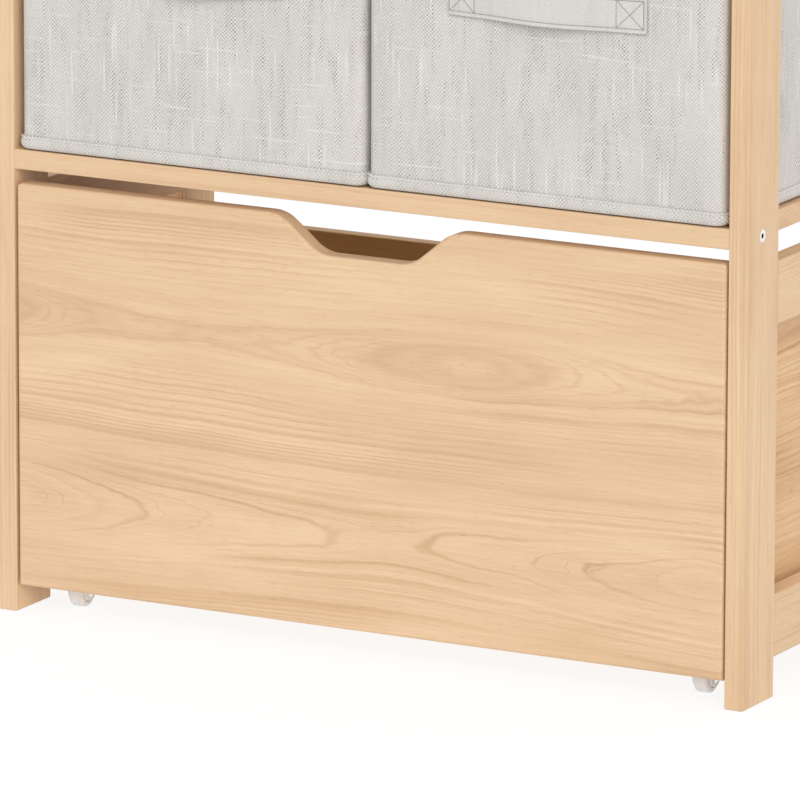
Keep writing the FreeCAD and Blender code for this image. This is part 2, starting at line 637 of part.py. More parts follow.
def make_drawer_hardware():
    # The cam bolt lies along X: thread in the drawer front below zero, neck and head in the side above it.
    bolt = new_body("cam_bolt_master", is_node=False)
    neck = "dim.cam_reach - dim.cam_bolt_head"
    end = "dim.cam_reach + dim.cam_bolt_head / 2"
    revolve(bolt, [("-dim.cam_bolt_in_front", "0"), ("-dim.cam_bolt_in_front", "dim.cam_bolt / 2"),
                   (neck, "dim.cam_bolt / 2"), (neck, "dim.cam_bolt_neck / 2"),
                   ("dim.cam_reach", "dim.cam_bolt_neck / 2"), ("dim.cam_reach", "dim.cam_bolt_head / 2"),
                   (end, "dim.cam_bolt_head / 2"), (end, "0")])

    # The cam's face is at zero and its body runs along +X; the bolt enters across it along -Y.
    cam = new_body("cam_master", is_node=False)
    sketch = new_sketch(cam, "YZ_Plane")
    draw_circles(sketch, [("0", "0")], "dim.cam_diameter")
    pad(cam, sketch, "dim.cam_height")
    drill(cam, "XZ_Plane", "0", [("dim.side_thick / 2", "0")], cam_bolt_hole, "dim.cam_diameter", reverse=True)
    drill(cam, "XZ_Plane", "0", [("dim.side_thick / 2", "0")], cam_bolt_hole, "dim.cam_bolt_head")
    for half_u, half_v in (("dim.cam_diameter / 3", "dim.cam_slot / 2"), ("dim.cam_slot / 2", "dim.cam_diameter / 3")):
        sketch = new_sketch(cam, "YZ_Plane")
        draw_box(sketch, half_u, f"-{half_v}", half_v)
        pocket(cam, sketch, "dim.cam_slot", reverse=True)

    peg = new_body("drawer_peg_master", is_node=False)
    sketch = new_sketch(peg, "YZ_Plane")
    draw_circles(sketch, [("0", "0")], "dim.peg_diameter")
    pad(peg, sketch, "dim.peg_length")
    chamfer_edges(peg, "dim.peg_diameter / 8", is_circle)

    # The screw's head is at zero and its shank runs along +X to a short point.
    screw = new_body("drawer_screw_master", is_node=False)
    under = "dim.screw_head_height"
    shoulder = "dim.screw_head_height + dim.screw_length - dim.screw_diameter"
    revolve(screw, [("0", "0"), ("0", "dim.screw_head / 2"), (under, "dim.screw_head / 2"),
                    (under, "dim.screw_diameter / 2"), (shoulder, "dim.screw_diameter / 2"),
                    ("dim.screw_head_height + dim.screw_length", "0")])

    cam_bolts, cams, pegs, screws = [], [], [], []
    for out in sides.values():
        inward = along_minus_x if out > 0 else along_x
        outward = along_x if out > 0 else FreeCAD.Rotation(axis_y, 180)
        for height in cam_heights:
            cam_bolts.append((point(f"{out} * {side_mid}", front_rear, height), along_y))
            cams.append((point(f"{out} * {side_inner}", f"{front_rear} + dim.cam_reach", height), outward))
        pegs.append((point(f"{out} * {side_mid}", f"{front_rear} - dim.peg_in_front", peg_height), along_y))
        head_x = f"{out} * ({side_outer} - dim.screw_clear)"
        for height in back_screw_heights:
            screws.append((point(head_x, f"{drawer_rear} - dim.back_thick / 2", height), inward))
        for y in bottom_screw_y:
            screws.append((point(head_x, y, bottom_mid), inward))
    for x in bottom_screw_x:
        pegs.append((point(x, f"{front_rear} - dim.peg_in_front", bottom_mid), along_y))
        screws.append((point(x, f"{drawer_rear} - dim.screw_clear", bottom_mid), along_minus_y))
    group("drawer_cam_bolts", bolt, cam_bolts)
    group("drawer_cams", cam, cams)
    group("drawer_pegs", peg, pegs)
    group("drawer_screws", screw, screws)


# Casters: a moulded fork with two round-ended arms, a riveted axle and a dished wheel.

def caster_spots():
    spots = {}
    for end in ends:
        along = f"({drawer_face} + dim.wheel_from_end)" if end == "front" else f"({drawer_rear} - dim.wheel_from_end)"
        for side, out in sides.items():
            spots[f"{end}_{side}"] = (f"({out} * (dim.inner_width / 2 - dim.wheel_from_post))", along)
    return spots


def make_fork(name, x, y):
    body = new_body(f"{name}_caster_fork")
    place(body, x, y, "dim.wheel_radius")
    plate_low = "(dim.wheel_radius + dim.caster_clear)"
    sketch = new_sketch(body, "XY_Plane", plate_low)
    draw_rounded_box(sketch, "dim.plate_width / 2", "dim.plate_length / 2", "dim.plate_corner")
    pad(body, sketch, "dim.plate_thick")
    sketch = new_sketch(body, "YZ_Plane", arm_inner)
    draw_polygon(sketch, [("-dim.arm_spread / 2", plate_low), ("-dim.arm_round", "-dim.arm_round"),
                          ("dim.arm_round", "-dim.arm_round"), ("dim.arm_spread / 2", plate_low)])
    arm = pad(body, sketch, "dim.arm_thick")
    mirror(body, [arm], "YZ_Plane")
    low = value("-dim.arm_round")
    round_edges(body, "dim.arm_round * 0.85",
                lambda edge: runs_along(edge, axis_x) and abs(edge.CenterOfMass.z - low) < 1e-6)
    drill(body, "YZ_Plane", "0", [("0", "0")], "dim.axle_diameter + 2 * dim.thread_clear")
    screw_spots = []
    for out in sides.values():
        for back in ends.values():
            screw_spots.append((f"{out} * dim.plate_screw_x / 2", f"{back} * dim.plate_screw_y / 2"))
    drill(body, "XY_Plane", plate_low, screw_spots, "dim.plate_screw + 2 * dim.thread_clear",
          "dim.plate_thick", reverse=True)


def make_axle(name, x, y):
    body = new_body(f"{name}_caster_axle")
    place(body, x, y, "dim.wheel_radius")
    end = f"({arm_outer} + dim.rivet_height)"
    revolve(body, [(f"-{end}", "0"), (f"-{end}", "dim.rivet_head / 2"), (f"-{arm_outer}", "dim.rivet_head / 2"),
                   (f"-{arm_outer}", "dim.axle_diameter / 2"), (arm_outer, "dim.axle_diameter / 2"),
                   (arm_outer, "dim.rivet_head / 2"), (end, "dim.rivet_head / 2"), (end, "0")])
    chamfer_edges(body, "dim.rivet_height / 2",
                  lambda edge: is_circle(edge) and abs(abs(edge.CenterOfMass.x) - value(end)) < 1e-6)


def make_wheel(name, x, y):
    body = new_body(f"{name}_caster_wheel")
    place(body, x, y, "dim.wheel_radius")
    bore = "(dim.axle_diameter / 2 + dim.axle_clear)"
    face = "(dim.wheel_width / 2)"
    dish = f"({face} - dim.dish_depth)"
    revolve(body, [(f"-{face}", bore), (f"-{face}", "dim.hub_radius"), (f"-{dish}", "dim.hub_radius"),
                   (f"-{dish}", "dim.dish_radius"), (f"-{face}", "dim.dish_radius"), (f"-{face}", "dim.wheel_radius"),
                   (face, "dim.wheel_radius"), (face, "dim.dish_radius"), (dish, "dim.dish_radius"),
                   (dish, "dim.hub_radius"), (face, "dim.hub_radius"), (face, bore)])
    tread = value("2 * dim.wheel_radius * pi")
    round_edges(body, "dim.wheel_round", lambda edge: abs(edge.Length - tread) < 1e-3)


def make_casters():
    for name, (x, y) in caster_spots().items():
        make_fork(name, x, y)
        make_axle(name, x, y)
        make_wheel(name, x, y)
    screw = new_body("caster_screw_master", is_node=False)
    under = "dim.plate_screw_head_height"
    shoulder = "dim.plate_screw_head_height + dim.plate_screw_length - dim.plate_screw"
    revolve(screw, [("0", "0"), ("0", "dim.plate_screw_head / 3"), (under, "dim.plate_screw_head / 2"),
                    (under, "dim.plate_screw / 2"), (shoulder, "dim.plate_screw / 2"),
                    ("dim.plate_screw_head_height + dim.plate_screw_length", "0")])
    places = []
    for x, y in caster_spots().values():
        for out in sides.values():
            for back in ends.values():
                spot = point(f"{x} + {out} * dim.plate_screw_x / 2", f"{y} + {back} * dim.plate_screw_y / 2",
                             f"{plate_base} - dim.plate_screw_head_height")
                places.append((spot, along_z))
    group("caster_screws", screw, places)


# Fabric bins: cover, stiff wall boards, lining, rim binding, hem, strap handle and a loose base insert.

def place_bin_piece(piece, side, x="0", y="0", z="0"):
    middle_x = f"{sides[side]} * ({bin_width} + dim.bin_between) / 2 + {x}"
    place(piece, middle_x, f"{bin_front} + {bin_depth} / 2 + {y}", f"{bin_base} + {z}")


def draw_bin_outline(sketch, shrink):
    # A rounded rectangle, smaller than the bin's outline by this much all round.
    draw_rounded_box(sketch, f"{bin_width} / 2 - {shrink}", f"{bin_depth} / 2 - {shrink}",
                     f"dim.bin_corner - {shrink}")


def make_bin_shell(label, side, outer, wall, base, height):
    body = new_body(label)
    place_bin_piece(body, side, z=base)
    sketch = new_sketch(body, "XY_Plane")
    draw_bin_outline(sketch, outer)
    pad(body, sketch, height)
    sketch = new_sketch(body, "XY_Plane", height)
    draw_bin_outline(sketch, f"({outer} + {wall})")
    pocket(body, sketch, f"{height} - {wall}")


def make_bin_ring(label, side, outer, inner, base, height):
    body = new_body(label)
    place_bin_piece(body, side, z=base)
    sketch = new_sketch(body, "XY_Plane")
    draw_bin_outline(sketch, outer)
    draw_bin_outline(sketch, inner)
    pad(body, sketch, height)
    return body


def make_wall_boards(side):
    half_x = f"({bin_width} / 2 - dim.bin_corner)"
    half_y = f"({bin_depth} / 2 - dim.bin_corner)"
    edge_x = f"({bin_width} / 2 - dim.cover_thick)"
    edge_y = f"({bin_depth} / 2 - dim.cover_thick)"
    boards = {
        "front": (half_x, f"-{edge_y}", f"-({edge_y} - dim.wall_board)"),
        "rear": (half_x, f"({edge_y} - dim.wall_board)", edge_y),
    }
    for name, (half, low, high) in boards.items():
        body = new_body(f"{side}_bin_{name}_board")
        place_bin_piece(body, side, z="dim.cover_thick")
        sketch = new_sketch(body, "XY_Plane")
        draw_box(sketch, half, low, high)
        pad(body, sketch, f"{wall_top} - dim.cover_thick")
    for name, out in sides.items():
        body = new_body(f"{side}_bin_{name}_board")
        place_bin_piece(body, side, z="dim.cover_thick")
        near, far = f"{out} * ({edge_x} - dim.wall_board)", f"{out} * {edge_x}"
        sketch = new_sketch(body, "XY_Plane")
        draw_polygon(sketch, [(near, f"-{half_y}"), (far, f"-{half_y}"), (far, half_y), (near, half_y)])
        pad(body, sketch, f"{wall_top} - dim.cover_thick")


def make_strap(side):
    body = new_body(f"{side}_bin_handle")
    place_bin_piece(body, side, f"dim.{side}_strap_shift", f"(-{bin_depth} / 2)",
                    "(dim.strap_middle - dim.strap_height / 2)")
    half = "dim.strap_length / 2"
    sewn = "(dim.strap_length / 2 - dim.strap_patch)"
    crest = f"({sewn} - dim.strap_ramp)"
    inner = [(f"-{half}", "0"), (f"-{sewn}", "0"), (f"-{crest}", "-dim.strap_bow"),
             (crest, "-dim.strap_bow"), (sewn, "0"), (half, "0")]
    outer = [(u, f"{v} - dim.strap_thick") for u, v in reversed(inner)]
    sketch = new_sketch(body, "XY_Plane")
    draw_polygon(sketch, inner + outer)
    pad(body, sketch, "dim.strap_height")
    reach = value(f"{half} - dim.strap_patch / 2")
    round_edges(body, "dim.strap_bend",
                lambda edge: runs_along(edge, axis_z) and abs(edge.CenterOfMass.x) < reach)


def make_bin(side):
    name = f"{side}_bin"
    make_bin_shell(f"{name}_cover", side, "0", "dim.cover_thick", "0", wall_top)
    make_wall_boards(side)
    make_bin_shell(f"{name}_lining", side, board_offset, "dim.lining_thick", "dim.cover_thick",
                   f"({wall_top} - dim.cover_thick)")
    make_bin_ring(f"{name}_hem", side, "(-dim.hem_thick)", "0", "0", "dim.hem_height")
    binding = make_bin_ring(f"{name}_binding", side, "(-dim.binding_thick)", f"({wall_total} + dim.binding_thick)",
                            f"({bin_height} - dim.binding_height)", "dim.binding_height")
    groove = new_sketch(binding, "XY_Plane")
    draw_bin_outline(groove, "0")
    draw_bin_outline(groove, wall_total)
    pocket(binding, groove, "dim.binding_height - dim.binding_thick", reverse=True)
    make_strap(side)
    insert = new_body(f"{name}_base_insert")
    place_bin_piece(insert, side, z="(dim.cover_thick + dim.lining_thick + dim.slide_gap)")
    sketch = new_sketch(insert, "XY_Plane")
    draw_bin_outline(sketch, f"({wall_total} + dim.insert_clear)")
    pad(insert, sketch, "dim.insert_thick")


def check_document():
    doc.recompute()
    faults = []
    for thing in doc.Objects:
        if "Invalid" in thing.State or "Error" in thing.State:
            faults.append(f"{thing.Label}: {thing.State}")
        if thing.TypeId == "PartDesign::Pocket":
            if thing.Shape.Volume > thing.BaseFeature.Shape.Volume - 1e-3:
                faults.append(f"{thing.Label}: cuts nothing")
    for node in nodes:
        if node.Shape.isNull() or not node.Shape.isValid() or not node.Shape.Solids:
            faults.append(f"{node.Label}: no valid solid")
    if faults:
        raise RuntimeError("\n".join(faults))


for end in ends:
    for side in sides:
        make_post(end, side)
for level in ("lower", "upper"):
    for side in sides:
        make_rail(level, side)
make_shelf("bin_shelf", "dim.shelf_base")
make_shelf("top_board", "dim.frame_height - dim.shelf_thick")
make_stretcher()
make_frame_hardware()
make_drawer_front()
for side in sides:
    make_drawer_side(side)
make_drawer_back()
make_drawer_bottom()
make_drawer_hardware()
make_casters()
for side in sides:
    make_bin(side)

check_document()
os.makedirs("parts", exist_ok=True)
for node in nodes:
    node.Shape.exportStep(f"parts/{node.Label}.step")
print(len(nodes), "nodes,", sum(len(node.Shape.Solids) for node in nodes), "solids")
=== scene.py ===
import math

import bmesh
import bpy
from mathutils import Matrix, Vector, noise


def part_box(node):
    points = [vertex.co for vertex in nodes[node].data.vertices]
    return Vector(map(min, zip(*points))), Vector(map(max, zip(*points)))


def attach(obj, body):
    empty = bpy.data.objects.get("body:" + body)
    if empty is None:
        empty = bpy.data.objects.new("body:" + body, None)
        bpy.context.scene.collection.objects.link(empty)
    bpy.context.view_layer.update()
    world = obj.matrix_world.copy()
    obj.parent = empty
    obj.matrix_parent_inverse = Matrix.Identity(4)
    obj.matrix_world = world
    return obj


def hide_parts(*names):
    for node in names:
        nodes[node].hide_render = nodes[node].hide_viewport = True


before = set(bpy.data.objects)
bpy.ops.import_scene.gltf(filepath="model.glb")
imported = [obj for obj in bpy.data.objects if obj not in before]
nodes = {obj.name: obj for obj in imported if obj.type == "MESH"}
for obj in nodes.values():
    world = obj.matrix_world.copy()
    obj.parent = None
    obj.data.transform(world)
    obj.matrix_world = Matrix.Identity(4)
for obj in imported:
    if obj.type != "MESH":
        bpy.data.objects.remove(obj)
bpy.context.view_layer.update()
tiny = 1e-6
print("frame loaded:", len(nodes), "nodes")


# small helpers for node trees

def tint(red, green, blue):
    # a colour as read on screen, made linear
    parts = [c / 255 for c in (red, green, blue)]
    return tuple(c / 12.92 if c <= 0.04045 else ((c + 0.055) / 1.055) ** 2.4 for c in parts) + (1.0,)


def tints(tones):
    return {label: tint(*tone) for label, tone in tones.items()}


def plug(tree, socket, given):
    if isinstance(given, bpy.types.NodeSocket):
        tree.links.new(given, socket)
    else:
        socket.default_value = given


def feed(tree, made, inputs):
    for name, given in inputs.items():
        plug(tree, made.inputs[name], given)


def addNode(tree, kind, inputs=None, **settings):
    made = tree.nodes.new("ShaderNode" + kind)
    for name, setting in settings.items():
        setattr(made, name, setting)
    feed(tree, made, inputs or {})
    return made


def maths(tree, operation, a, b=0.0, clamp=False):
    return addNode(tree, "Math", {0: a, 1: b}, operation=operation, use_clamp=clamp).outputs[0]


def times(tree, a, b):
    return maths(tree, "MULTIPLY", a, b)


def scaled(tree, value, share, start, clamp=False):
    return maths(tree, "ADD", times(tree, value, share), start, clamp)


def centred(tree, value):
    # noise runs from 0 to 1, this swings to both sides of 0
    return maths(tree, "SUBTRACT", value, 0.5)


def joined(tree, x, y, z=0.0):
    return addNode(tree, "CombineXYZ", {0: x, 1: y, 2: z}).outputs[0]


def parted(tree, vector):
    return addNode(tree, "SeparateXYZ", {0: vector}).outputs


def moved(tree, vector, shift):
    return addNode(tree, "VectorMath", {0: vector, 1: shift}, operation="ADD").outputs[0]


def stretch(tree, vector, factors):
    return addNode(tree, "VectorMath", {0: vector, 1: factors}, operation="MULTIPLY").outputs[0]


def mixed(tree, factor, a, b):
    return addNode(tree, "Mix", {0: factor, 6: a, 7: b}, data_type="RGBA").outputs[2]


def cloudy(tree, vector, detail=2.0):
    return addNode(tree, "TexNoise", {"Vector": vector, "Scale": 1.0, "Detail": detail}).outputs[0]


def cloudyLine(tree, along, detail):
    inputs = {"W": along, "Scale": 1.0, "Detail": detail}
    return addNode(tree, "TexNoise", inputs, noise_dimensions="1D").outputs[0]


def between(tree, value, low, high):
    # 0 below low, 1 above high, smooth in between
    inputs = {"Value": value, "From Min": low, "From Max": high}
    return addNode(tree, "MapRange", inputs, interpolation_type="SMOOTHSTEP").outputs[0]


def ownPlace(tree):
    return addNode(tree, "TexCoord").outputs["Object"]


def newGroup(name, inputs, outputs, tones=None):
    tree = bpy.data.node_groups.new(name, "ShaderNodeTree")
    for label, kind in inputs.items():
        tree.interface.new_socket(label, in_out="INPUT", socket_type="NodeSocket" + kind)
    for label, colour in tints(tones or {}).items():
        socket = tree.interface.new_socket(label, in_out="INPUT", socket_type="NodeSocketColor")
        socket.default_value = colour
    for label, kind in outputs.items():
        tree.interface.new_socket(label, in_out="OUTPUT", socket_type="NodeSocket" + kind)
    return tree, tree.nodes.new("NodeGroupInput").outputs, tree.nodes.new("NodeGroupOutput").inputs


def placeGroup(tree, group, inputs):
    made = tree.nodes.new("ShaderNodeGroup")
    made.node_tree = group
    feed(tree, made, inputs)
    return made.outputs


def newMaterial(name):
    made = bpy.data.materials.new(name)
    made.use_nodes = True
    return made, made.node_tree, made.node_tree.nodes["Principled BSDF"]


def bumpInto(tree, shader, height, distance):
    bump = addNode(tree, "Bump", {"Height": height, "Distance": distance})
    plug(tree, shader.inputs["Normal"], bump.outputs[0])


def dress(node, material):
    mesh = nodes[node].data
    mesh.materials.clear()
    mesh.materials.append(material)


surfaceOutputs = {"Color": "Color", "Roughness": "Float", "Height": "Float"}


# board grain: runs along the first axis of the vector that it is given

boardTones = {"Light": (241, 209, 171), "Deep": (220, 184, 146), "Line": (193, 149, 107)}

# waves: stretch and reach; lines: pitch, width and share; comes and fleck: stretch and limits
grainSettings = {
    "seedShift": (1.37, 0.23, 0.61),
    "detail": {"wave": 1.0, "comes": 1.5, "line": 0.5, "band": 1.0, "fleck": 0.0},
    "waves": (((2.2, 8, 8), 0.020), ((9, 34, 34), 0.0046), ((60, 150, 150), 0.0013)),
    "lines": ((95.0, 0.045, 1.0), (310.0, 0.075, 0.62)), "comes": ((4.0, 24, 24), 0.40, 0.64), "narrowing": 1.2,
    "fleck": ((95, 1500, 1500), 0.66, 0.78), "blotch": (5, 19, 19), "fibre": (22, 700, 700), "fine": 560.0,
    "wide": 150.0, "shares": {"blotch": 1.35, "fine": 0.38, "wide": 0.20, "fibre": 0.8}, "depth": 0.47,
    "lineWeight": (0.40, 0.38), "fleckWeight": 0.20, "rough": (0.14, 0.40), "lineRough": 0.12, "lineDepth": 0.8,
}


def makeBoardGrain():
    inputs = {"Place": "Vector", "Seed": "Float", "Wave": "Float", "Rings": "Float", "Emphasis": "Float",
              "Figure": "Float"}
    tree, given, out = newGroup("boardGrain", inputs, surfaceOutputs, boardTones)
    grain = grainSettings
    detail = grain["detail"]
    shift = joined(tree, *[times(tree, given["Seed"], share) for share in grain["seedShift"]])
    place = moved(tree, given["Place"], shift)
    # the rings wander slowly along the board, with small waves on top
    rings = given["Rings"]
    for factors, reach in grain["waves"]:
        wave = centred(tree, cloudy(tree, stretch(tree, place, factors), detail["wave"]))
        wave = times(tree, wave, reach)
        rings = maths(tree, "ADD", rings, times(tree, wave, given["Wave"]))
    # thin late-wood lines that come and go, thinner in the heart of an arch
    factors, low, high = grain["comes"]
    comes = between(tree, cloudy(tree, stretch(tree, place, factors), detail["comes"]), low, high)
    comes = maths(tree, "MAXIMUM", comes, given["Emphasis"])
    narrow = maths(tree, "SUBTRACT", 1.0, times(tree, given["Emphasis"], grain["narrowing"]))
    lines = 0.0
    for pitch, width, share in grain["lines"]:
        ridge = centred(tree, cloudyLine(tree, times(tree, rings, pitch), detail["line"]))
        ridge = maths(tree, "ABSOLUTE", ridge)
        thin = maths(tree, "SUBTRACT", 1.0, between(tree, ridge, 0.0, times(tree, narrow, width)))
        lines = maths(tree, "MAXIMUM", times(tree, thin, share), lines)
    lines = times(tree, lines, comes)
    # blotches, fine and wider bands, fibres and flecks
    fibre = cloudy(tree, stretch(tree, place, grain["fibre"]))
    layers = {"blotch": cloudy(tree, stretch(tree, place, grain["blotch"])),
              "fine": cloudyLine(tree, times(tree, rings, grain["fine"]), detail["band"]),
              "wide": cloudyLine(tree, times(tree, rings, grain["wide"]), detail["band"]), "fibre": fibre}
    depth = 0.0
    for name, layer in layers.items():
        depth = scaled(tree, centred(tree, layer), grain["shares"][name], depth)
    depth = scaled(tree, depth, given["Figure"], grain["depth"], clamp=True)
    colour = mixed(tree, depth, given["Light"], given["Deep"])
    factors, low, high = grain["fleck"]
    fleck = between(tree, cloudy(tree, stretch(tree, place, factors), detail["fleck"]), low, high)
    weight = scaled(tree, given["Emphasis"], *grain["lineWeight"])
    strong = times(tree, lines, times(tree, given["Figure"], weight))
    strong = scaled(tree, fleck, grain["fleckWeight"], strong, clamp=True)
    plug(tree, out["Color"], mixed(tree, strong, colour, given["Line"]))
    rough = scaled(tree, fibre, *grain["rough"])
    plug(tree, out["Roughness"], scaled(tree, strong, grain["lineRough"], rough))
    plug(tree, out["Height"], maths(tree, "SUBTRACT", fibre, times(tree, strong, grain["lineDepth"])))
    return tree


# leans: stretch and share
archSettings = {"height": 0.16, "leans": (((3.6, 3, 3), 1.0), ((11, 8, 8), 0.14)), "leanDetail": 0.0,
                "heart": (0.80, 1.0)}


def makeRingArch():
    # ring level of a flat-sawn board: rows of arches across it, which lean and close along it
    inputs = {"Place": "Vector", "Across": "Float", "Row": "Float", "Spacing": "Float", "Lean": "Float"}
    tree, given, out = newGroup("ringArch", inputs, {"Rings": "Float", "Heart": "Float"})
    turn = maths(tree, "DIVIDE", maths(tree, "SUBTRACT", given["Across"], given["Row"]), given["Spacing"])
    arch = maths(tree, "COSINE", times(tree, turn, 2 * math.pi))
    level = times(tree, times(tree, arch, given["Spacing"]), archSettings["height"])
    for factors, share in archSettings["leans"]:
        lean = cloudy(tree, stretch(tree, given["Place"], factors), archSettings["leanDetail"])
        level = scaled(tree, times(tree, centred(tree, lean), share), given["Lean"], level)
    plug(tree, out["Rings"], level)
    plug(tree, out["Heart"], between(tree, maths(tree, "ABSOLUTE", arch), *archSettings["heart"]))
    return tree


def makeRingOval():
    # lifts the rings round one spot, so that they close into an oval there
    inputs = {"Place": "Vector", "Centre": "Vector", "Sharpness": "Vector", "Lift": "Float"}
    tree, given, out = newGroup("ringOval", inputs, {"Rings": "Float"})
    away = addNode(tree, "VectorMath", {0: given["Place"], 1: given["Centre"]}, operation="SUBTRACT").outputs[0]
    away = stretch(tree, away, given["Sharpness"])
    length = addNode(tree, "VectorMath", {0: away}, operation="LENGTH").outputs["Value"]
    bell = maths(tree, "EXPONENT", times(tree, times(tree, length, length), -1.0))
    plug(tree, out["Rings"], times(tree, bell, given["Lift"]))
    return tree


boardGrain = makeBoardGrain()
ringArch = makeRingArch()
ringOval = makeRingOval()

# how each board is turned so that its grain runs along the first axis
grainTurns = {"x": (0, 0, 0), "y": (0, 0, -math.pi / 2), "z": (0, math.pi / 2, 0)}

# node: grain axis, wave of the grain, strength of the figure
boards = {
    "front_left_post": ("z", 0.5, 1.05), "front_right_post": ("z", 0.5, 1.05),
    "rear_left_post": ("z", 0.5, 1.05), "rear_right_post": ("z", 0.5, 1.05),
    "left_lower_rail": ("y", 0.5, 1.05), "right_lower_rail": ("y", 0.5, 1.05),
    "left_upper_rail": ("y", 0.5, 0.95), "right_upper_rail": ("y", 0.5, 0.95),
    "bin_shelf": ("x", 0.5, 0.6), "top_board": ("x", 0.9, 0.9), "rear_stretcher": ("x", 0.5, 0.8),
    "drawer_front": ("x", 0.8, 1.0),
    "drawer_left_side": ("y", 0.9, 1.35), "drawer_right_side": ("y", 0.9, 1.35),
    "drawer_back": ("x", 0.9, 1.2), "drawer_bottom": ("x", 0.9, 1.0),
}

# wide boards with arched figure: the turned axis across the board, middle of a row, rows' spacing, lean
arches = {
    "drawer_front": (2, 0.229, 0.28, 0.022), "drawer_back": (2, 0.15, 0.24, 0.022),
    "drawer_left_side": (2, 0.17, 0.26, 0.022), "drawer_right_side": (2, 0.13, 0.26, 0.022),
    "top_board": (1, 0.04, 0.24, 0.022), "drawer_bottom": (1, 0.0, 0.24, 0.022),
}

# the drawer box behind the front is of a warmer board; its back and bottom are painted paler, painted light that
# lifts the shade inside the drawer
sideTones = {"Light": (238, 200, 156), "Deep": (215, 174, 128), "Line": (184, 138, 94)}
innerPaintedLightTones = {"Light": (254, 222, 172), "Deep": (246, 204, 150), "Line": (216, 164, 110)}
boxBoards = {"drawer_left_side": sideTones, "drawer_right_side": sideTones, "drawer_back": innerPaintedLightTones,
             "drawer_bottom": innerPaintedLightTones}

# ovals in the drawer front's figure: middle x and z, reach along x and z, lift
frontOvals = [(0.087, 0.226, 0.064, 0.029, 0.0032), (-0.380, 0.095, 0.200, 0.060, -0.0120),
              (-0.380, 0.232, 0.160, 0.050, 0.0090), (0.275, 0.100, 0.040, 0.020, -0.0050)]

woodSettings = {"seedStep": 0.37, "seedShift": 3.1, "slant": 0.45, "levelSlant": 0.9, "heart": 0.55,
                "specular": 0.25, "bump": 0.00012}


def boardRings(tree, node, place, seed):
    split = parted(tree, place)
    slant = times(tree, split[1], woodSettings["slant"])
    if node not in arches:
        shift = maths(tree, "ADD", split[2], seed)
        return maths(tree, "ADD", shift, slant), 0.0
    across, row, spacing, lean = arches[node]
    arch = placeGroup(tree, ringArch, {"Place": moved(tree, place, (seed * woodSettings["seedShift"], 0, 0)),
                                       "Across": split[across], "Row": row, "Spacing": spacing, "Lean": lean})
    if across != 2:
        slant = times(tree, split[2], woodSettings["levelSlant"])
    rings = maths(tree, "ADD", arch["Rings"], slant)
    if node == "drawer_front":
        for x, z, reachX, reachZ, lift in frontOvals:
            oval = placeGroup(tree, ringOval, {"Place": place, "Centre": (x, 0, z), "Lift": lift,
                                               "Sharpness": (1 / reachX, 0, 1 / reachZ)})
            rings = maths(tree, "ADD", rings, oval["Rings"])
    return rings, times(tree, arch["Heart"], woodSettings["heart"])


def makeBoardMaterial(node, seed):
    axis, wave, figure = boards[node]
    made, tree, shader = newMaterial("wood_" + node)
    place = addNode(tree, "Mapping", {"Vector": ownPlace(tree), "Rotation": grainTurns[axis]}).outputs[0]
    rings, heart = boardRings(tree, node, place, seed)
    grain = placeGroup(tree, boardGrain, {"Place": place, "Seed": seed, "Wave": wave, "Figure": figure,
                                          "Rings": rings, "Emphasis": heart, **tints(boxBoards.get(node, {}))})
    feed(tree, shader, {"Base Color": grain["Color"], "Roughness": grain["Roughness"],
                        "Specular IOR Level": woodSettings["specular"]})
    bumpInto(tree, shader, grain["Height"], woodSettings["bump"])
    return made


for number, node in enumerate(boards):
    dress(node, makeBoardMaterial(node, woodSettings["seedStep"] * number))
print("boards dressed")


# drawer front: the CAD's mesh with its eased outer edge grown rounder

frontSettings = {"eased": 0.001, "rounded": 0.0026, "near": 0.00002, "zone": 0.0015}


def nearestOn(runs, place):
    feet = []
    for start, along in runs:
        share = (place - start).dot(along) / along.length_squared
        feet.append(start + along * min(max(share, 0.0), 1.0))
    return min(feet, key=lambda foot: (foot - place).length_squared)


def makeDrawerFront():
    mesh = nodes["drawer_front"].data.copy()
    near, zone = frontSettings["near"], frontSettings["zone"]
    grow = frontSettings["rounded"] / frontSettings["eased"]
    low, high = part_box("drawer_front")
    back = low.y + frontSettings["eased"]
    band = [vertex for vertex in mesh.vertices if vertex.co.y < back + near]
    rim = {}
    for vertex in band:
        if vertex.co.y > back - near:
            rim[vertex.index] = Vector((vertex.co.x, low.y, vertex.co.z))
    edges = [edge.vertices for edge in mesh.edges if all(index in rim for index in edge.vertices)]
    runs = [(rim[a], rim[b] - rim[a]) for a, b in edges if (rim[b] - rim[a]).length > near]
    for vertex in band:
        flat = Vector((vertex.co.x, low.y, vertex.co.z))
        foot = nearestOn(runs, flat)
        # the lower corners are square, so there the edge grows both ways
        side = low.x if flat.x < 0 else high.x
        if flat.z < low.z + zone and abs(flat.x - side) < zone:
            foot = Vector((side, low.y, low.z))
        if (foot - flat).length < zone:
            vertex.co = foot + (vertex.co - foot) * grow
    piece = bpy.data.objects.new("drawer_front_board", mesh)
    bpy.context.scene.collection.objects.link(piece)
    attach(piece, "drawer")
    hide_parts("drawer_front")
    print("drawer front edge:", len(band), "points on", len(runs), "runs")


makeDrawerFront()


# fittings: light and dull tone, metal, roughness, scale of the wear, depth of the bump

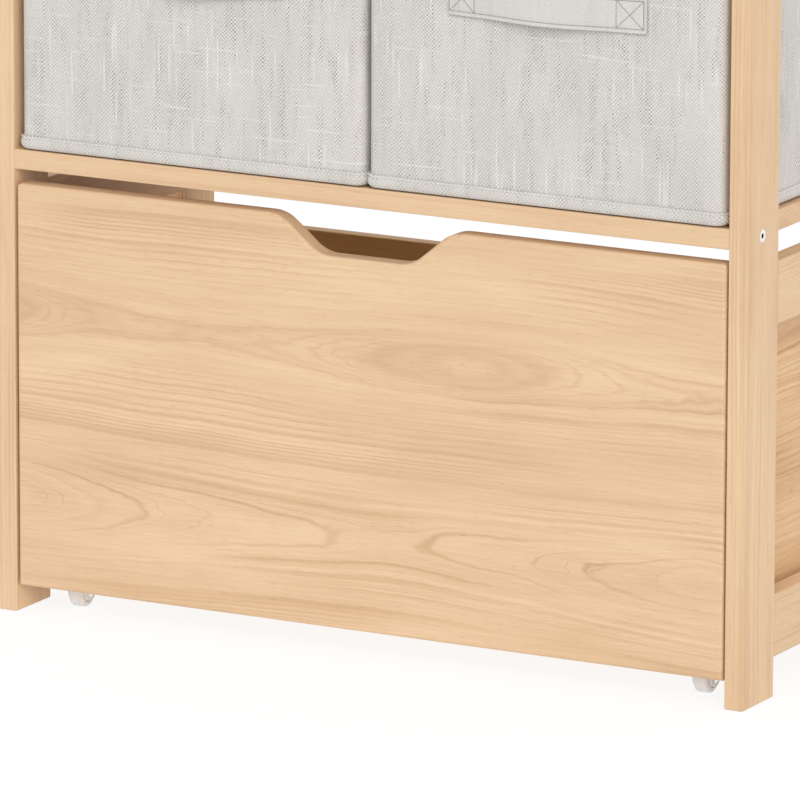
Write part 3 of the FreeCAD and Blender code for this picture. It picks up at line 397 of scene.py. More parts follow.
fittings = {
    "zinc_plated": ((250, 250, 249), (240, 240, 238), 1.0, 0.34, 160, 0.00003),
    "bolt_zinc": ((250, 250, 249), (240, 240, 238), 0.35, 0.34, 160, 0.00003),
    "wheel_plastic": ((252, 251, 251), (247, 245, 245), 0.0, 0.42, 220, 0.00004),
    "fork_plastic": ((251, 253, 255), (246, 248, 252), 0.0, 0.36, 180, 0.00003),
    "dowel_wood": ((226, 196, 156), (202, 166, 122), 0.0, 0.62, 300, 0.00008),
    "greyboard": ((176, 168, 156), (150, 142, 130), 0.0, 0.85, 400, 0.0001),
}
wearSettings = {"broadDetail": 3.0, "finer": 9, "worn": (0.35, 0.7), "roughSpread": 0.16, "roughWorn": 0.08}
# painted shade inside the bolt sockets: its tone, and the depths below the head's face where it starts and is full
socketShadeSettings = {"tone": (52, 48, 44), "from": 0.0004, "full": 0.0008}


def makeFittingMaterial(name):
    light, dull, metal, roughness, scale, depth = fittings[name]
    made, tree, shader = newMaterial(name)
    place = ownPlace(tree)
    broad = cloudy(tree, stretch(tree, place, (scale, scale, scale)), wearSettings["broadDetail"])
    scale = scale * wearSettings["finer"]
    fine = cloudy(tree, stretch(tree, place, (scale, scale, scale)))
    worn = between(tree, broad, *wearSettings["worn"])
    spread = wearSettings["roughSpread"]
    rough = scaled(tree, fine, spread, roughness - spread / 2)
    feed(tree, shader, {"Base Color": mixed(tree, worn, tint(*light), tint(*dull)),
                        "Roughness": scaled(tree, worn, wearSettings["roughWorn"], rough), "Metallic": metal})
    bumpInto(tree, shader, fine, depth)
    return made


def paintSocketShade(made):
    # bright bolt heads, with painted shade inside their sockets, darker deeper than the head's face
    tree = made.node_tree
    colour = tree.nodes["Principled BSDF"].inputs["Base Color"]
    bright = colour.links[0].from_socket
    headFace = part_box("frame_bolts")[1].x
    out = maths(tree, "ABSOLUTE", parted(tree, ownPlace(tree))[0])
    inside = between(tree, out, headFace - socketShadeSettings["from"], headFace - socketShadeSettings["full"])
    plug(tree, colour, mixed(tree, inside, bright, tint(*socketShadeSettings["tone"])))


def fittingOf(node):
    if node == "frame_bolts":
        return "bolt_zinc"
    if node in ("barrel_nuts", "drawer_cam_bolts", "drawer_cams", "drawer_screws", "caster_screws"):
        return "zinc_plated"
    if node in ("frame_dowels", "drawer_pegs"):
        return "dowel_wood"
    if node.endswith("_board") and "_bin_" in node:
        return "greyboard"
    endings = {"axle": "zinc_plated", "wheel": "wheel_plastic", "fork": "fork_plastic"}
    return endings.get(node.split("_")[-1])


fittingMaterials = {name: makeFittingMaterial(name) for name in fittings}
paintSocketShade(fittingMaterials["bolt_zinc"])
for node in nodes:
    if fittingOf(node):
        dress(node, fittingMaterials[fittingOf(node)])
print("fittings dressed")


# linen: a plain weave with slubs, on the cloth's own UV map in metres

# the weave's colours hold painted shade in the gaps between threads and a painted highlight on its raised crossings
linenTones = {"Light": (216, 212, 206), "Mid": (208, 204, 198), "GapShade": (146, 141, 134), "SlubAndHighlight": (248, 246, 242)}

# threads that stand out: step from thread to thread, pitch along them, layer of the noise, limits
weaveSettings = {
    "seedShift": 0.43, "swayUp": (340, 30, 1), "swayAcross": (30, 340, 1), "sway": 0.9, "swayDetail": 1.0,
    "threadDetail": 1.5,
    "patch": ((95, 16, 1), 3.0, 0.46, 0.68), "patchShare": 0.55,
    "looseThread": (0.31, 26.0, 5.3, 0.52, 0.69), "looseShare": 0.75,
    "slubUp": (0.73, 15.0, 0.0, 0.597, 0.725), "slubAcross": (0.73, 17.0, 2.7, 0.618, 0.75), "acrossShare": 0.8,
    "tone": ((22, 9, 1), 0.3, 0.7), "opening": (0.64, 0.16), "openingChance": (0.9, 0.55), "gapShade": (0.15, -0.85),
    "slubFills": 0.6, "knuckleHighlight": (0.0, 0.85), "knuckleHighlightChance": (0.7, 0.3), "knuckleHighlightShare": 0.62,
    "dots": (-0.3, 0.8), "dotShare": (0.38, 0.20), "rough": (0.12, 0.82), "weaveHeight": 0.5, "slubHeight": 0.4,
}


def makeLinenWeave():
    inputs = {"Cloth": "Vector", "Thread": "Float", "Contrast": "Float", "Slubs": "Float", "Seed": "Float"}
    tree, given, out = newGroup("linenWeave", inputs, surfaceOutputs, linenTones)
    linen = weaveSettings
    shift = joined(tree, given["Seed"], times(tree, given["Seed"], linen["seedShift"]))
    cloth = moved(tree, given["Cloth"], shift)
    split = parted(tree, cloth)

    def threads(along, factors):
        sway = centred(tree, cloudy(tree, stretch(tree, cloth, factors), linen["swayDetail"]))
        return scaled(tree, sway, linen["sway"], maths(tree, "DIVIDE", along, given["Thread"]))

    def standsOut(number, along, settings):
        step, pitch, layer, low, high = settings
        spot = joined(tree, times(tree, number, step), times(tree, along, pitch), layer)
        return between(tree, cloudy(tree, spot, linen["threadDetail"]), low, high)

    warp, weft = threads(split[0], linen["swayUp"]), threads(split[1], linen["swayAcross"])
    weave = times(tree, *[maths(tree, "SINE", times(tree, count, math.pi)) for count in (warp, weft)])
    # each crossing differs a little
    column, row = maths(tree, "FLOOR", warp), maths(tree, "FLOOR", weft)
    cell = joined(tree, column, row)
    chance = addNode(tree, "TexWhiteNoise", {"Vector": cell}, noise_dimensions="2D").outputs["Value"]
    # patches and single threads stand further apart, and single threads have slubs, along and across
    factors, detail, low, high = linen["patch"]
    patch = between(tree, cloudy(tree, stretch(tree, cloth, factors), detail), low, high)
    looseThread = standsOut(column, split[1], linen["looseThread"])
    loose = scaled(tree, patch, linen["patchShare"], times(tree, looseThread, linen["looseShare"]))
    slubUp = standsOut(column, split[1], linen["slubUp"])
    slubAcross = times(tree, standsOut(row, split[0], linen["slubAcross"]), linen["acrossShare"])
    slub = times(tree, maths(tree, "MAXIMUM", slubUp, slubAcross), given["Slubs"])
    opening = scaled(tree, loose, *linen["opening"])
    opening = times(tree, opening, scaled(tree, chance, *linen["openingChance"]))
    # painted shade: where the weave is low and the threads stand apart, the colour darkens towards the gap shade
    # tone
    gapShade = times(tree, between(tree, weave, *linen["gapShade"]), opening)
    gapShade = times(tree, gapShade, maths(tree, "SUBTRACT", 1.0, times(tree, slub, linen["slubFills"])))
    gapShade = maths(tree, "MULTIPLY", gapShade, given["Contrast"], clamp=True)
    # painted highlight: the weave's raised crossings are lightened towards the slub tone
    knuckleHighlight = between(tree, weave, *linen["knuckleHighlight"])
    knuckleHighlight = times(tree, knuckleHighlight, scaled(tree, chance, *linen["knuckleHighlightChance"]))
    knuckleHighlight = times(tree, knuckleHighlight, times(tree, given["Contrast"], linen["knuckleHighlightShare"]))
    factors, low, high = linen["tone"]
    tone = between(tree, cloudy(tree, stretch(tree, cloth, factors)), low, high)
    colour = mixed(tree, gapShade, mixed(tree, tone, given["Light"], given["Mid"]), given["GapShade"])
    # slubs are lighter threads; they are lightened more on the weave's raised parts, which is painted highlight,
    # and the crossings' painted highlight is added
    dotted = scaled(tree, between(tree, weave, *linen["dots"]), *linen["dotShare"])
    bright = scaled(tree, slub, dotted, knuckleHighlight, clamp=True)
    plug(tree, out["Color"], mixed(tree, bright, colour, given["SlubAndHighlight"]))
    plug(tree, out["Roughness"], scaled(tree, gapShade, *linen["rough"]))
    plug(tree, out["Height"], scaled(tree, weave, linen["weaveHeight"], times(tree, slub, linen["slubHeight"])))
    return tree


linenWeave = makeLinenWeave()

# cloths: thread, contrast, share of slubs, seed, depth of the weave
cloths = {"linen_left": (0.00145, 1.0, 1.0, 0.0, 0.00022), "linen_right": (0.00145, 1.0, 1.0, 3.7, 0.00022),
          "linen_hem": (0.00155, 0.86, 0.2, 8.1, 0.00024), "linen_strap": (0.0012, 0.44, 0.25, 5.3, 0.00016),
          "bin_lining": (0.0008, 0.7, 0.1, 2.2, 0.00008), "insert_felt": (0.0009, 0.6, 0.1, 1.4, 0.00008)}
clothTones = {
    "linen_strap": {"Light": (219, 216, 211), "Mid": (210, 206, 201), "GapShade": (150, 146, 140),
                    "SlubAndHighlight": (238, 236, 232)},
    "bin_lining": {"Light": (232, 230, 226), "Mid": (222, 219, 214), "GapShade": (190, 187, 182),
                   "SlubAndHighlight": (238, 236, 233)},
    "insert_felt": {"Light": (228, 226, 222), "Mid": (218, 215, 210), "GapShade": (186, 183, 178)},
}
sheenSettings = {"Specular IOR Level": 0.2, "Sheen Weight": 0.12, "Sheen Roughness": 0.5}


def makeClothMaterial(name):
    # sewn cloth has a UV map and sheen, the felt over the base inserts has neither
    thread, contrast, slubs, seed, depth = cloths[name]
    made, tree, shader = newMaterial(name)
    felt = name == "insert_felt"
    cloth = ownPlace(tree) if felt else addNode(tree, "UVMap", uv_map="cloth").outputs[0]
    weave = placeGroup(tree, linenWeave, {"Cloth": cloth, "Thread": thread, "Contrast": contrast,
                                          "Slubs": slubs, "Seed": seed, **tints(clothTones.get(name, {}))})
    feed(tree, shader, {"Base Color": weave["Color"], "Roughness": weave["Roughness"]})
    feed(tree, shader, {} if felt else sheenSettings)
    bumpInto(tree, shader, weave["Height"], depth)
    return made


threadSettings = {"twist": (2600, 2600, 2600), "detail": 1.0, "rough": (0.2, 0.6), "bump": 0.00006}


def makeThreadMaterial(name, light, dark):
    made, tree, shader = newMaterial(name)
    twist = cloudy(tree, stretch(tree, ownPlace(tree), threadSettings["twist"]), threadSettings["detail"])
    feed(tree, shader, {"Base Color": mixed(tree, twist, tint(*light), tint(*dark)),
                        "Roughness": scaled(tree, twist, *threadSettings["rough"])})
    bumpInto(tree, shader, twist, threadSettings["bump"])
    return made


clothMaterials = {name: makeClothMaterial(name) for name in cloths}
hemThread = makeThreadMaterial("hem_thread", (244, 242, 238), (230, 227, 222))
strapThread = makeThreadMaterial("strap_thread", (178, 174, 168), (158, 154, 148))


# bins: sewn covers, linings, hems, rim bindings and strap handles; cuts are along x, y and z

binSettings = {"corner": 0.0072, "cornerSteps": 6, "thick": 0.0012, "cuts": (14, 14, 16), "tuck": 0.0055,
               "tuckCuts": 4, "stitchPitch": 0.0034, "stitchLong": 0.0036, "stitchWide": 0.0010,
               "stitchKeep": 0.6}


class Outline:
    # the rounded rectangle round a bin, measured from the middle of its front, to the right
    def __init__(self, low, high, corner):
        self.middle = (low + high) / 2
        self.halfX, self.halfY = (high.x - low.x) / 2, (high.y - low.y) / 2
        self.flatX, self.flatY = self.halfX - corner, self.halfY - corner
        self.corner = corner
        self.arc = corner * math.pi / 2
        self.around = 4 * (self.flatX + self.flatY + self.arc)

    def along(self, point):
        # how far round the outline a point is, its outward direction and how far inside it lies
        x, y = point.x - self.middle.x, point.y - self.middle.y
        flatX, flatY = self.flatX, self.flatY
        coreX, coreY = max(-flatX, min(flatX, x)), max(-flatY, min(flatY, y))
        offX, offY = x - coreX, y - coreY
        if abs(offX) < tiny and abs(offY) < tiny:
            offY = -1.0 if abs(y) * self.halfX >= abs(x) * self.halfY and y < 0 else 1.0
        angle = math.atan2(offY, offX)  # -90 degrees in front, 0 at the right
        out = Vector((math.cos(angle), math.sin(angle), 0))
        turn = (angle + math.pi / 2) % (2 * math.pi)
        side = min(3, int((turn + tiny) / (math.pi / 2)))
        bend = self.corner * (turn - side * math.pi / 2)
        starts = [0.0, flatX + self.arc + flatY, 2 * (flatX + flatY + self.arc), 3 * (flatX + self.arc + flatY)]
        across = [coreX, coreY, -coreX, -coreY][side]
        inside = self.corner - math.hypot(offX, offY)
        return starts[side] + across + bend, out, inside

    def point(self, distance):
        # a point on the outline, the direction along it and the outward direction
        distance = distance % self.around
        steps = [("run", self.flatX), ("arc", self.arc), ("run", 2 * self.flatY), ("arc", self.arc),
                 ("run", 2 * self.flatX), ("arc", self.arc), ("run", 2 * self.flatY), ("arc", self.arc),
                 ("run", self.flatX)]
        place, heading = Vector((self.middle.x, self.middle.y - self.halfY, 0)), 0.0
        for kind, length in steps:
            step = min(distance, length)
            if kind == "run":
                place = place + Vector((math.cos(heading), math.sin(heading), 0)) * step
            else:
                centre = place + Vector((-math.sin(heading), math.cos(heading), 0)) * self.corner
                heading += step / self.corner
                place = centre - Vector((-math.sin(heading), math.cos(heading), 0)) * self.corner
            distance -= step
            if distance <= 0:
                break
        along = Vector((math.cos(heading), math.sin(heading), 0))
        return place, along, Vector((along.y, -along.x, 0))


def finishPiece(name, bm, material, body, replaced=()):
    mesh = bpy.data.meshes.new(name)
    bm.to_mesh(mesh)
    bm.free()
    for polygon in mesh.polygons:
        polygon.use_smooth = True
    mesh.materials.append(material)
    piece = bpy.data.objects.new(name, mesh)
    bpy.context.scene.collection.objects.link(piece)
    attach(piece, body)
    for node in replaced:
        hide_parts(node)
    return piece


edgeSettings = {"steps": 2, "flattest": 50}


def thicken(piece, thickness, edge=0.0):
    # inwards from the faces, with the edges rounded where edge is given
    solid = piece.modifiers.new("thickness", "SOLIDIFY")
    solid.thickness = thickness
    solid.offset = -1
    solid.use_even_offset = True
    if edge:
        rounded = piece.modifiers.new("edge", "BEVEL")
        rounded.width = edge
        rounded.segments = edgeSettings["steps"]
        rounded.limit_method = "ANGLE"
        rounded.angle_limit = math.radians(edgeSettings["flattest"])


# how far a normal points up: on level faces, on faces unwrapped as level, and its change over a rim
slopeSettings = {"level": 0.9, "unwrapLevel": 0.7, "rim": 0.5}


def facing(bm, up):
    # level faces that look up (1) or down (-1)
    return [face for face in bm.faces if face.normal.z * up > slopeSettings["level"]]


def startBox(low, high, corner, drop):
    # an upright box with rounded corners, open at the ends that drop names
    bm = bmesh.new()
    bmesh.ops.create_cube(bm, size=1.0)
    bmesh.ops.scale(bm, vec=high - low, verts=bm.verts)
    bmesh.ops.translate(bm, vec=(low + high) / 2, verts=bm.verts)
    upright = [e for e in bm.edges if abs(e.verts[0].co.z - e.verts[1].co.z) > tiny]
    bmesh.ops.bevel(bm, geom=upright, offset=corner, segments=binSettings["cornerSteps"], profile=0.5,
                    affect="EDGES", material=-1)
    for end in drop:
        bmesh.ops.delete(bm, geom=facing(bm, {"top": 1, "bottom": -1}[end]), context="FACES")
    return bm


def cutAt(bm, spot, axis):
    normal = Vector([1.0 if a == axis else 0.0 for a in range(3)])
    everything = bm.verts[:] + bm.edges[:] + bm.faces[:]
    bmesh.ops.bisect_plane(bm, geom=everything, plane_co=spot, plane_no=normal)


def cutAcross(bm, low, high, axis, count):
    for number in range(1, count):
        cutAt(bm, low.lerp(high, number / count), axis)


def cutBox(bm, low, high, cuts):
    for axis in (2, 0, 1):
        cutAcross(bm, low, high, axis, cuts[axis])


def unwrap(bm, outline):
    # UV in metres: round the outline and up, or flat for level faces
    layer = bm.loops.layers.uv.new("cloth")
    for face in bm.faces:
        points = [loop.vert.co for loop in face.loops]
        if abs(face.normal.z) > slopeSettings["unwrapLevel"]:
            found = [(point.x, point.y) for point in points]
        else:
            found = [(outline.along(point)[0], point.z) for point in points]
            widest = max(u for u, v in found)
            found = [(u + outline.around if widest - u > outline.around / 2 else u, v) for u, v in found]
        for loop, uv in zip(face.loops, found):
            loop[layer].uv = uv


swellSettings = {"bulge": 0.00091, "ripple": 0.0010, "from": 0.045, "to": 0.94, "steep": 0.6, "flat": 4,
                 "rippleAcross": 17, "rippleUp": 11}


def wallLift(outline, point, low, high):
    # how far the cloth stands off its boards: most in the middle of a wall, none at the hem, rim and corners
    swell = swellSettings
    x, y = point.x - outline.middle.x, point.y - outline.middle.y
    onFront = abs(y) / outline.halfY > abs(x) / outline.halfX
    across = abs(x) / outline.flatX if onFront else abs(y) / outline.flatY
    up = (point.z - low.z) / (high.z - low.z)
    if across >= 1 or up <= swell["from"] or up >= swell["to"]:
        return 0.0
    share = (up - swell["from"]) / (swell["to"] - swell["from"])
    rise = math.sin(math.pi * share) ** swell["steep"] * (1 - across ** swell["flat"])
    wide, tall = swell["rippleAcross"], swell["rippleUp"]
    spot = Vector((point.x * wide, point.y * wide, point.z * tall))
    return rise * (swell["bulge"] + swell["ripple"] * (0.5 + 0.5 * noise.noise(spot)))


def tucked(height):
    # how far the cloth turns in under the bin, this far above the shelf
    radius = binSettings["tuck"]
    if height >= radius:
        return 0.0
    return radius - math.sqrt(radius ** 2 - (radius - height) ** 2)


def makeCover(side):
    low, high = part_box(f"{side}_bin_cover")
    outline = Outline(low, high, binSettings["corner"])
    bm = startBox(low, high, binSettings["corner"], ["top"])
    cutBox(bm, low, high, binSettings["cuts"])
    tuckTop = low + Vector((0, 0, binSettings["tuck"]))
    cutAcross(bm, low, tuckTop, 2, binSettings["tuckCuts"])
    cutAt(bm, tuckTop, 2)
    bm.normal_update()
    unwrap(bm, outline)
    for vert in [v for v in bm.verts if abs(outline.along(v.co)[2]) < tiny]:
        stand = wallLift(outline, vert.co, low, high) - tucked(vert.co.z - low.z)
        vert.co += outline.along(vert.co)[1] * stand
    piece = finishPiece(f"{side}_bin_cover_cloth", bm, clothMaterials[f"linen_{side}"], f"{side}_bin",
                        [f"{side}_bin_cover"])
    thicken(piece, binSettings["thick"])
    return outline, low, high


liningSettings = {"corner": 0.00396, "cuts": (8, 8, 8), "thick": 0.0008}


def makeLining(side):
    low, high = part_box(f"{side}_bin_lining")
    bm = startBox(low, high, liningSettings["corner"], ["top"])
    cutBox(bm, low, high, liningSettings["cuts"])
    bm.normal_update()
    unwrap(bm, Outline(low, high, liningSettings["corner"]))
    piece = finishPiece(f"{side}_bin_lining_cloth", bm, clothMaterials["bin_lining"], f"{side}_bin",
                        [f"{side}_bin_lining"])
    thicken(piece, liningSettings["thick"])


def addStitch(bm, spot, along, out, long, wide):
    across = along.cross(out)
    turn = Matrix((along, across, out)).transposed().to_4x4()
    size = Matrix.Diagonal((long / 2, wide / 2, wide / 2, 1.0))
    bmesh.ops.create_icosphere(bm, subdivisions=1, radius=1.0, matrix=Matrix.Translation(spot) @ turn @ size)


binsMeet = (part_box("left_bin_cover")[1].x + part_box("right_bin_cover")[0].x) / 2


def pressFlat(side, point, reach):
    # where the two bins' hems meet they press each other flat
    point.x = min(point.x, binsMeet - reach) if side == "left" else max(point.x, binsMeet + reach)


def stitchRound(bm, side, outline, height, stand):
    long, wide = binSettings["stitchLong"], binSettings["stitchWide"]
    count = round(outline.around / binSettings["stitchPitch"])
    for number in range(count):
        spot, along, out = outline.point(outline.around * number / count)
        spot = spot + out * stand
        spot.z = height
        pressFlat(side, spot, wide * binSettings["stitchKeep"])
        addStitch(bm, spot, along, out, long, wide)


hemSettings = {"cuts": (24, 24, 14), "roll": 0.0024, "rollPower": 3, "thick": 0.0008, "stand": 0.0002, "seam": 0.80,
               "seamDepth": 0.0007, "seamReach": 0.10, "wobble": 0.00025, "wobblePitch": 60, "wave": 0.0005,
               "wavePitch": 35, "waveShift": (3, 1, 0), "apart": 0.0001, "stitchUp": 0.9, "stitchStand": 0.0003}


def makeHem(side, threads):
    hem = hemSettings
    low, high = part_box(f"{side}_bin_cover")
    top = Vector((high.x, high.y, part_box(f"{side}_bin_hem")[1].z))
    tall = top.z - low.z
    outline = Outline(low, high, binSettings["corner"])
    bm = startBox(low, top, binSettings["corner"], ["top", "bottom"])
    cutBox(bm, low, top, hem["cuts"])
    bm.normal_update()
    unwrap(bm, outline)

    def standOff(up):
        # a padded roll, pulled in along the seam below its upper edge
        roll = hem["roll"] * math.sqrt(max(0.0, 1 - abs(2 * up - 1) ** hem["rollPower"]))
        return roll - hem["seamDepth"] * max(0.0, 1 - ((up - hem["seam"]) / hem["seamReach"]) ** 2)

    for vert in bm.verts:
        height = vert.co.z - low.z
        up = height / tall
        wobble = max(0.0, hem["wobble"] * noise.noise(vert.co * hem["wobblePitch"]))
        vert.co += outline.along(vert.co)[1] * (standOff(up) + wobble - tucked(height) + hem["stand"])
        spot = vert.co * hem["wavePitch"] + Vector(hem["waveShift"])
        vert.co.z += hem["wave"] * noise.noise(spot) * up
        pressFlat(side, vert.co, hem["apart"])
    piece = finishPiece(f"{side}_bin_hem_cloth", bm, clothMaterials["linen_hem"], f"{side}_bin",
                        [f"{side}_bin_hem"])
    thicken(piece, hem["thick"])
    stand = standOff(hem["stitchUp"]) + hem["stitchStand"]
    stitchRound(threads, side, outline, low.z + tall * hem["stitchUp"], stand)


bindingSettings = {"fold": 0.0055, "rim": 0.0028, "rimSteps": 4, "cuts": (12, 12, 1), "thick": 0.0009,
                   "stitchUp": 0.0022, "stitchStand": 0.0001}


def makeBinding(side, threads):
    low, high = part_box(f"{side}_bin_binding")
    stand = high.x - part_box(f"{side}_bin_cover")[1].x
    corner = binSettings["corner"] + stand
    outline = Outline(low, high, corner)
    bm = startBox(low, high, corner, ["bottom"])
    # fold the top over the wall and down inside, then open the middle, whose faces have the most corners
    wall = stand * 2 + bindingSettings["fold"]
    bmesh.ops.inset_region(bm, faces=facing(bm, 1), thickness=wall, use_even_offset=True)
    lid = [face for face in facing(bm, 1) if len(face.verts) > 4]
    pushed = bmesh.ops.extrude_face_region(bm, geom=lid)
    inner = [part for part in pushed["geom"] if isinstance(part, bmesh.types.BMVert)]
    bmesh.ops.translate(bm, vec=(0, 0, low.z - high.z), verts=inner)
    bmesh.ops.delete(bm, geom=[face for face in bm.faces if len(face.verts) > 8], context="FACES")
    rim = []
    for edge in bm.edges:
        slopes = [face.normal.z for face in edge.link_faces]
        atTop = all(abs(vert.co.z - high.z) < tiny for vert in edge.verts)
        if atTop and len(slopes) == 2 and abs(slopes[0] - slopes[1]) > slopeSettings["rim"]:
            rim.append(edge)
    bmesh.ops.bevel(bm, geom=rim, offset=bindingSettings["rim"], segments=bindingSettings["rimSteps"],
                    profile=0.5, affect="EDGES", material=-1)
    cutBox(bm, low, high, bindingSettings["cuts"])
    bmesh.ops.recalc_face_normals(bm, faces=bm.faces)
    bm.normal_update()
    unwrap(bm, outline)
    piece = finishPiece(f"{side}_bin_binding_cloth", bm, clothMaterials["linen_hem"], f"{side}_bin",
                        [f"{side}_bin_binding"])
    thicken(piece, bindingSettings["thick"])
    stitchRound(threads, side, outline, low.z + bindingSettings["stitchUp"], bindingSettings["stitchStand"])


# strap handle: a flat tape, sewn down at both ends and slack in between

strapSettings = {
    "patch": 0.0215, "ramp": 0.055, "bow": 0.0070, "topLean": 0.12, "thick": 0.0018, "edge": 0.0004,
    "sag": {"left": 0.0042, "right": 0.0010}, "raise": {"left": 0.0, "right": 0.0010},
    "margin": 0.0034, "endMargin": 0.0008, "edgeStitchAndShadow": 0.0003, "rim": 0.0006, "rimReach": 0.8, "groove": 0.0005,
    "grooveReach": 0.45, "columns": 44, "rows": 6, "seamMarks": (0.0, 0.2, 0.4, 0.6, 0.8, 1.0, 1.25, 1.7),
    "stitchPitch": 0.0026, "stitchLong": 0.0034, "stitchWide": 0.00075, "stitchStand": 0.00005,
}


def spaced(length, plain):
    # stations across a length, closer together at the two seams
    marks = [strapSettings["margin"] * mark for mark in strapSettings["seamMarks"]]
    inner = [marks[-1] + (length - 2 * marks[-1]) * number / plain for number in range(1, plain)]
    return marks + inner + [length - mark for mark in reversed(marks)]


def makeStrap(side, outline, low, high, threads):
    strap = strapSettings
    strapLow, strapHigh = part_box(f"{side}_bin_handle")
    length, height = strapHigh.x - strapLow.x, strapHigh.z - strapLow.z
    margin, endMargin, patch, thick = strap["margin"], strap["endMargin"], strap["patch"], strap["thick"]

    def shape(along, up):
        # the tape's back: how far it stands in front of the bin, and how far it hangs down
        fromEnd = min(along, length - along) - patch
        slack = 0.5 - 0.5 * math.cos(math.pi * min(max(fromEnd / strap["ramp"], 0.0), 1.0))
        hang = strap["sag"][side] * (1 - (2 * along / length - 1) ** 2)
        x = strapLow.x + along
        z = strapLow.z + strap["raise"][side] + up - hang
        lift = wallLift(outline, Vector((x, low.y, z)), low, high)
        bowed = strap["bow"] * slack * (1.0 - strap["topLean"] * (up / height - 0.5))
        return Vector((x, low.y - lift * (1 - slack) - bowed, z))

    def dip(along, up):
        # a rolled rim along the edges, then the groove that the seam pulls in
        edge = min(along, length - along, up, height - up)
        away = abs(edge - margin) / (margin * strap["grooveReach"])
        rolled = math.sin(math.pi * min(1.0, edge / (margin * strap["rimReach"])))
        return strap["groove"] * max(0.0, 1 - away * away) - strap["rim"] * rolled

    stations, levels = spaced(length, strap["columns"]), spaced(height, strap["rows"])
    bm = bmesh.new()
    bmesh.ops.create_grid(bm, x_segments=len(stations) - 1, y_segments=len(levels) - 1, size=0.5)
    bmesh.ops.rotate(bm, cent=(0, 0, 0), matrix=Matrix.Rotation(math.pi / 2, 3, "X"), verts=bm.verts)
    layer = bm.loops.layers.uv.new("cloth")
    places = {}
    for vert in bm.verts:
        column = round((vert.co.x + 0.5) * (len(stations) - 1))
        row = round((vert.co.z + 0.5) * (len(levels) - 1))
        places[vert] = (stations[column], levels[row])
    for face in bm.faces:
        for loop in face.loops:
            loop[layer].uv = places[loop.vert]
    for vert, (along, up) in places.items():
        vert.co = shape(along, up) + Vector((0, dip(along, up) - thick, 0))
    if bm.faces[:][0].normal.y > 0:
        bmesh.ops.reverse_faces(bm, faces=bm.faces)
    piece = finishPiece(f"{side}_bin_handle_strap", bm, clothMaterials["linen_strap"], f"{side}_bin",
                        [f"{side}_bin_handle"])
    thicken(piece, thick, strap["edge"])

    def sew(start, end):
        start, end = Vector(start), Vector(end)
        count = max(1, round((end - start).length / strap["stitchPitch"]))
        for number in range(count):
            a, b = start.lerp(end, number / count), start.lerp(end, (number + 1) / count)
            here, there = shape(*a), shape(*b)
            along = (there - here).normalized()
            out = Vector((0, -1, 0))
            out = (out - along * out.dot(along)).normalized()
            face = Vector((0, dip(*a.lerp(b, 0.5)) - thick, 0))
            spot = (here + there) / 2 + face + out * strap["stitchStand"]
            addStitch(threads, spot, along, out, strap["stitchLong"], strap["stitchWide"])

    # stitch rows close to the outer edge, along the bottom, the top and the right end; they also stand in for the
    # shadow under the strap's edge, a painted shadow
    far, top, edge = length - margin, height - margin, strap["edgeStitchAndShadow"]
    endX, endZ = length - edge, height - edge
    seams = [(endMargin, margin, far, margin), (endMargin, top, far, top), (edge, edge, endX, edge),
             (edge, endZ, endX, endZ), (endX, edge, endX, endZ)]
    for left, right in ((endMargin, patch - endMargin), (far - patch, far)):
        seams += [(left, margin, left, top), (right, margin, right, top), (left, margin, right, top),
                  (left, top, right, margin)]
    for startX, startZ, stopX, stopZ in seams:
        sew((startX, startZ), (stopX, stopZ))


for side in ("left", "right"):
    outline, coverLow, coverHigh = makeCover(side)
    makeLining(side)
    threads = bmesh.new()
    makeHem(side, threads)
    makeBinding(side, threads)
    finishPiece(f"{side}_bin_seams", threads, hemThread, f"{side}_bin")
    threads = bmesh.new()
    makeStrap(side, outline, coverLow, coverHigh, threads)
    finishPiece(f"{side}_bin_handle_stitching", threads, strapThread, f"{side}_bin")
    dress(f"{side}_bin_base_insert", clothMaterials["insert_felt"])
print("bins sewn")


# camera, light and floor; lamps: energy, where the light comes from, softness in degrees

cameraSettings = {"place": (3.25212, -6.09444, 1.75529), "lens": 429.96, "sensor": 36, "farthest": 60,
                  "right": (0.878846, 0.477099, 0.002728), "up": (-0.109391, 0.195933, 0.974497),
                  "back": (0.464397, -0.856731, 0.224385)}
lightSettings = {"ambient": 0.68, "lamps": {"softKey": (0.97, (0.80, -1.0, 0.80), 36),
                                            "lowFill": (0.39, (0.70, -1.0, 0.10), 60)}}
floorSettings = {"size": 12, "cells": 4, "sinks": 0.0005, "grain": (3, 3, 3), "rough": 0.9,
                 "tones": ((240, 240, 240), (244, 244, 244)), "glow": 1.06, "seenShare": 0.82, "bounceShare": 0.30}
white = (1, 1, 1, 1)


def makeCamera():
    data = bpy.data.cameras.new("studioCamera")
    data.lens = cameraSettings["lens"]
    data.sensor_width = cameraSettings["sensor"]
    data.clip_end = cameraSettings["farthest"]
    turn = Matrix((cameraSettings["right"], cameraSettings["up"], cameraSettings["back"])).transposed()
    camera = bpy.data.objects.new("studioCamera", data)
    camera.matrix_world = Matrix.Translation(cameraSettings["place"]) @ turn.to_4x4()
    bpy.context.scene.collection.objects.link(camera)
    bpy.context.scene.camera = camera


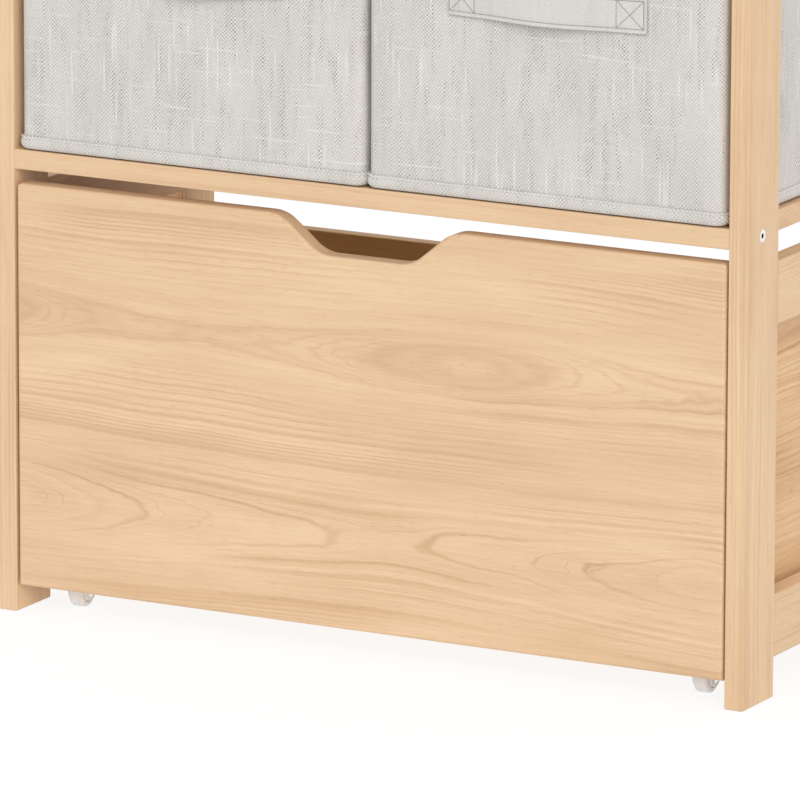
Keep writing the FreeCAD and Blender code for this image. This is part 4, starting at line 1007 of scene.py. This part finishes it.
def seenOr(tree, hidden, seen):
    # one value for rays that reach the eye, another for those that only light the part
    path = addNode(tree, "LightPath").outputs
    direct = maths(tree, "ADD", path["Is Camera Ray"], path["Is Glossy Ray"])
    direct = maths(tree, "ADD", direct, path["Is Transmission Ray"], clamp=True)
    return addNode(tree, "MapRange", {"Value": direct, "To Min": hidden, "To Max": seen}).outputs[0]


def makeLight():
    world = bpy.data.worlds.new("studio")
    bpy.context.scene.world = world
    world.use_nodes = True
    tree = world.node_tree
    tree.nodes.clear()
    level = seenOr(tree, lightSettings["ambient"], 1.0)
    back = addNode(tree, "Background", {"Color": white, "Strength": level})
    addNode(tree, "OutputWorld", {"Surface": back.outputs[0]})
    for name, (energy, comesFrom, softness) in lightSettings["lamps"].items():
        data = bpy.data.lights.new(name, "SUN")
        data.energy = energy
        data.angle = math.radians(softness)
        lamp = bpy.data.objects.new(name, data)
        lamp.rotation_euler = Vector(comesFrom).to_track_quat("Z", "Y").to_euler()
        bpy.context.scene.collection.objects.link(lamp)


def makeFloor():
    bm = bmesh.new()
    cells = floorSettings["cells"]
    bmesh.ops.create_grid(bm, x_segments=cells, y_segments=cells, size=floorSettings["size"])
    mesh = bpy.data.meshes.new("floor")
    bm.to_mesh(mesh)
    bm.free()
    made, tree, shader = newMaterial("pale_floor")
    grain = cloudy(tree, stretch(tree, ownPlace(tree), floorSettings["grain"]))
    feed(tree, shader, {"Base Color": mixed(tree, grain, *[tint(*tone) for tone in floorSettings["tones"]]),
                        "Roughness": floorSettings["rough"], "Specular IOR Level": 0.0})
    glow = addNode(tree, "Emission", {"Color": white, "Strength": floorSettings["glow"]})
    share = seenOr(tree, floorSettings["bounceShare"], floorSettings["seenShare"])
    blend = addNode(tree, "MixShader", {0: share, 1: shader.outputs[0], 2: glow.outputs[0]})
    plug(tree, tree.nodes["Material Output"].inputs["Surface"], blend.outputs[0])
    mesh.materials.append(made)
    floor = bpy.data.objects.new("floor", mesh)
    floor.location.z = -floorSettings["sinks"]
    bpy.context.scene.collection.objects.link(floor)


makeCamera()
makeLight()
makeFloor()
bpy.context.scene.view_settings.view_transform = "Standard"
print("camera, light and floor set")
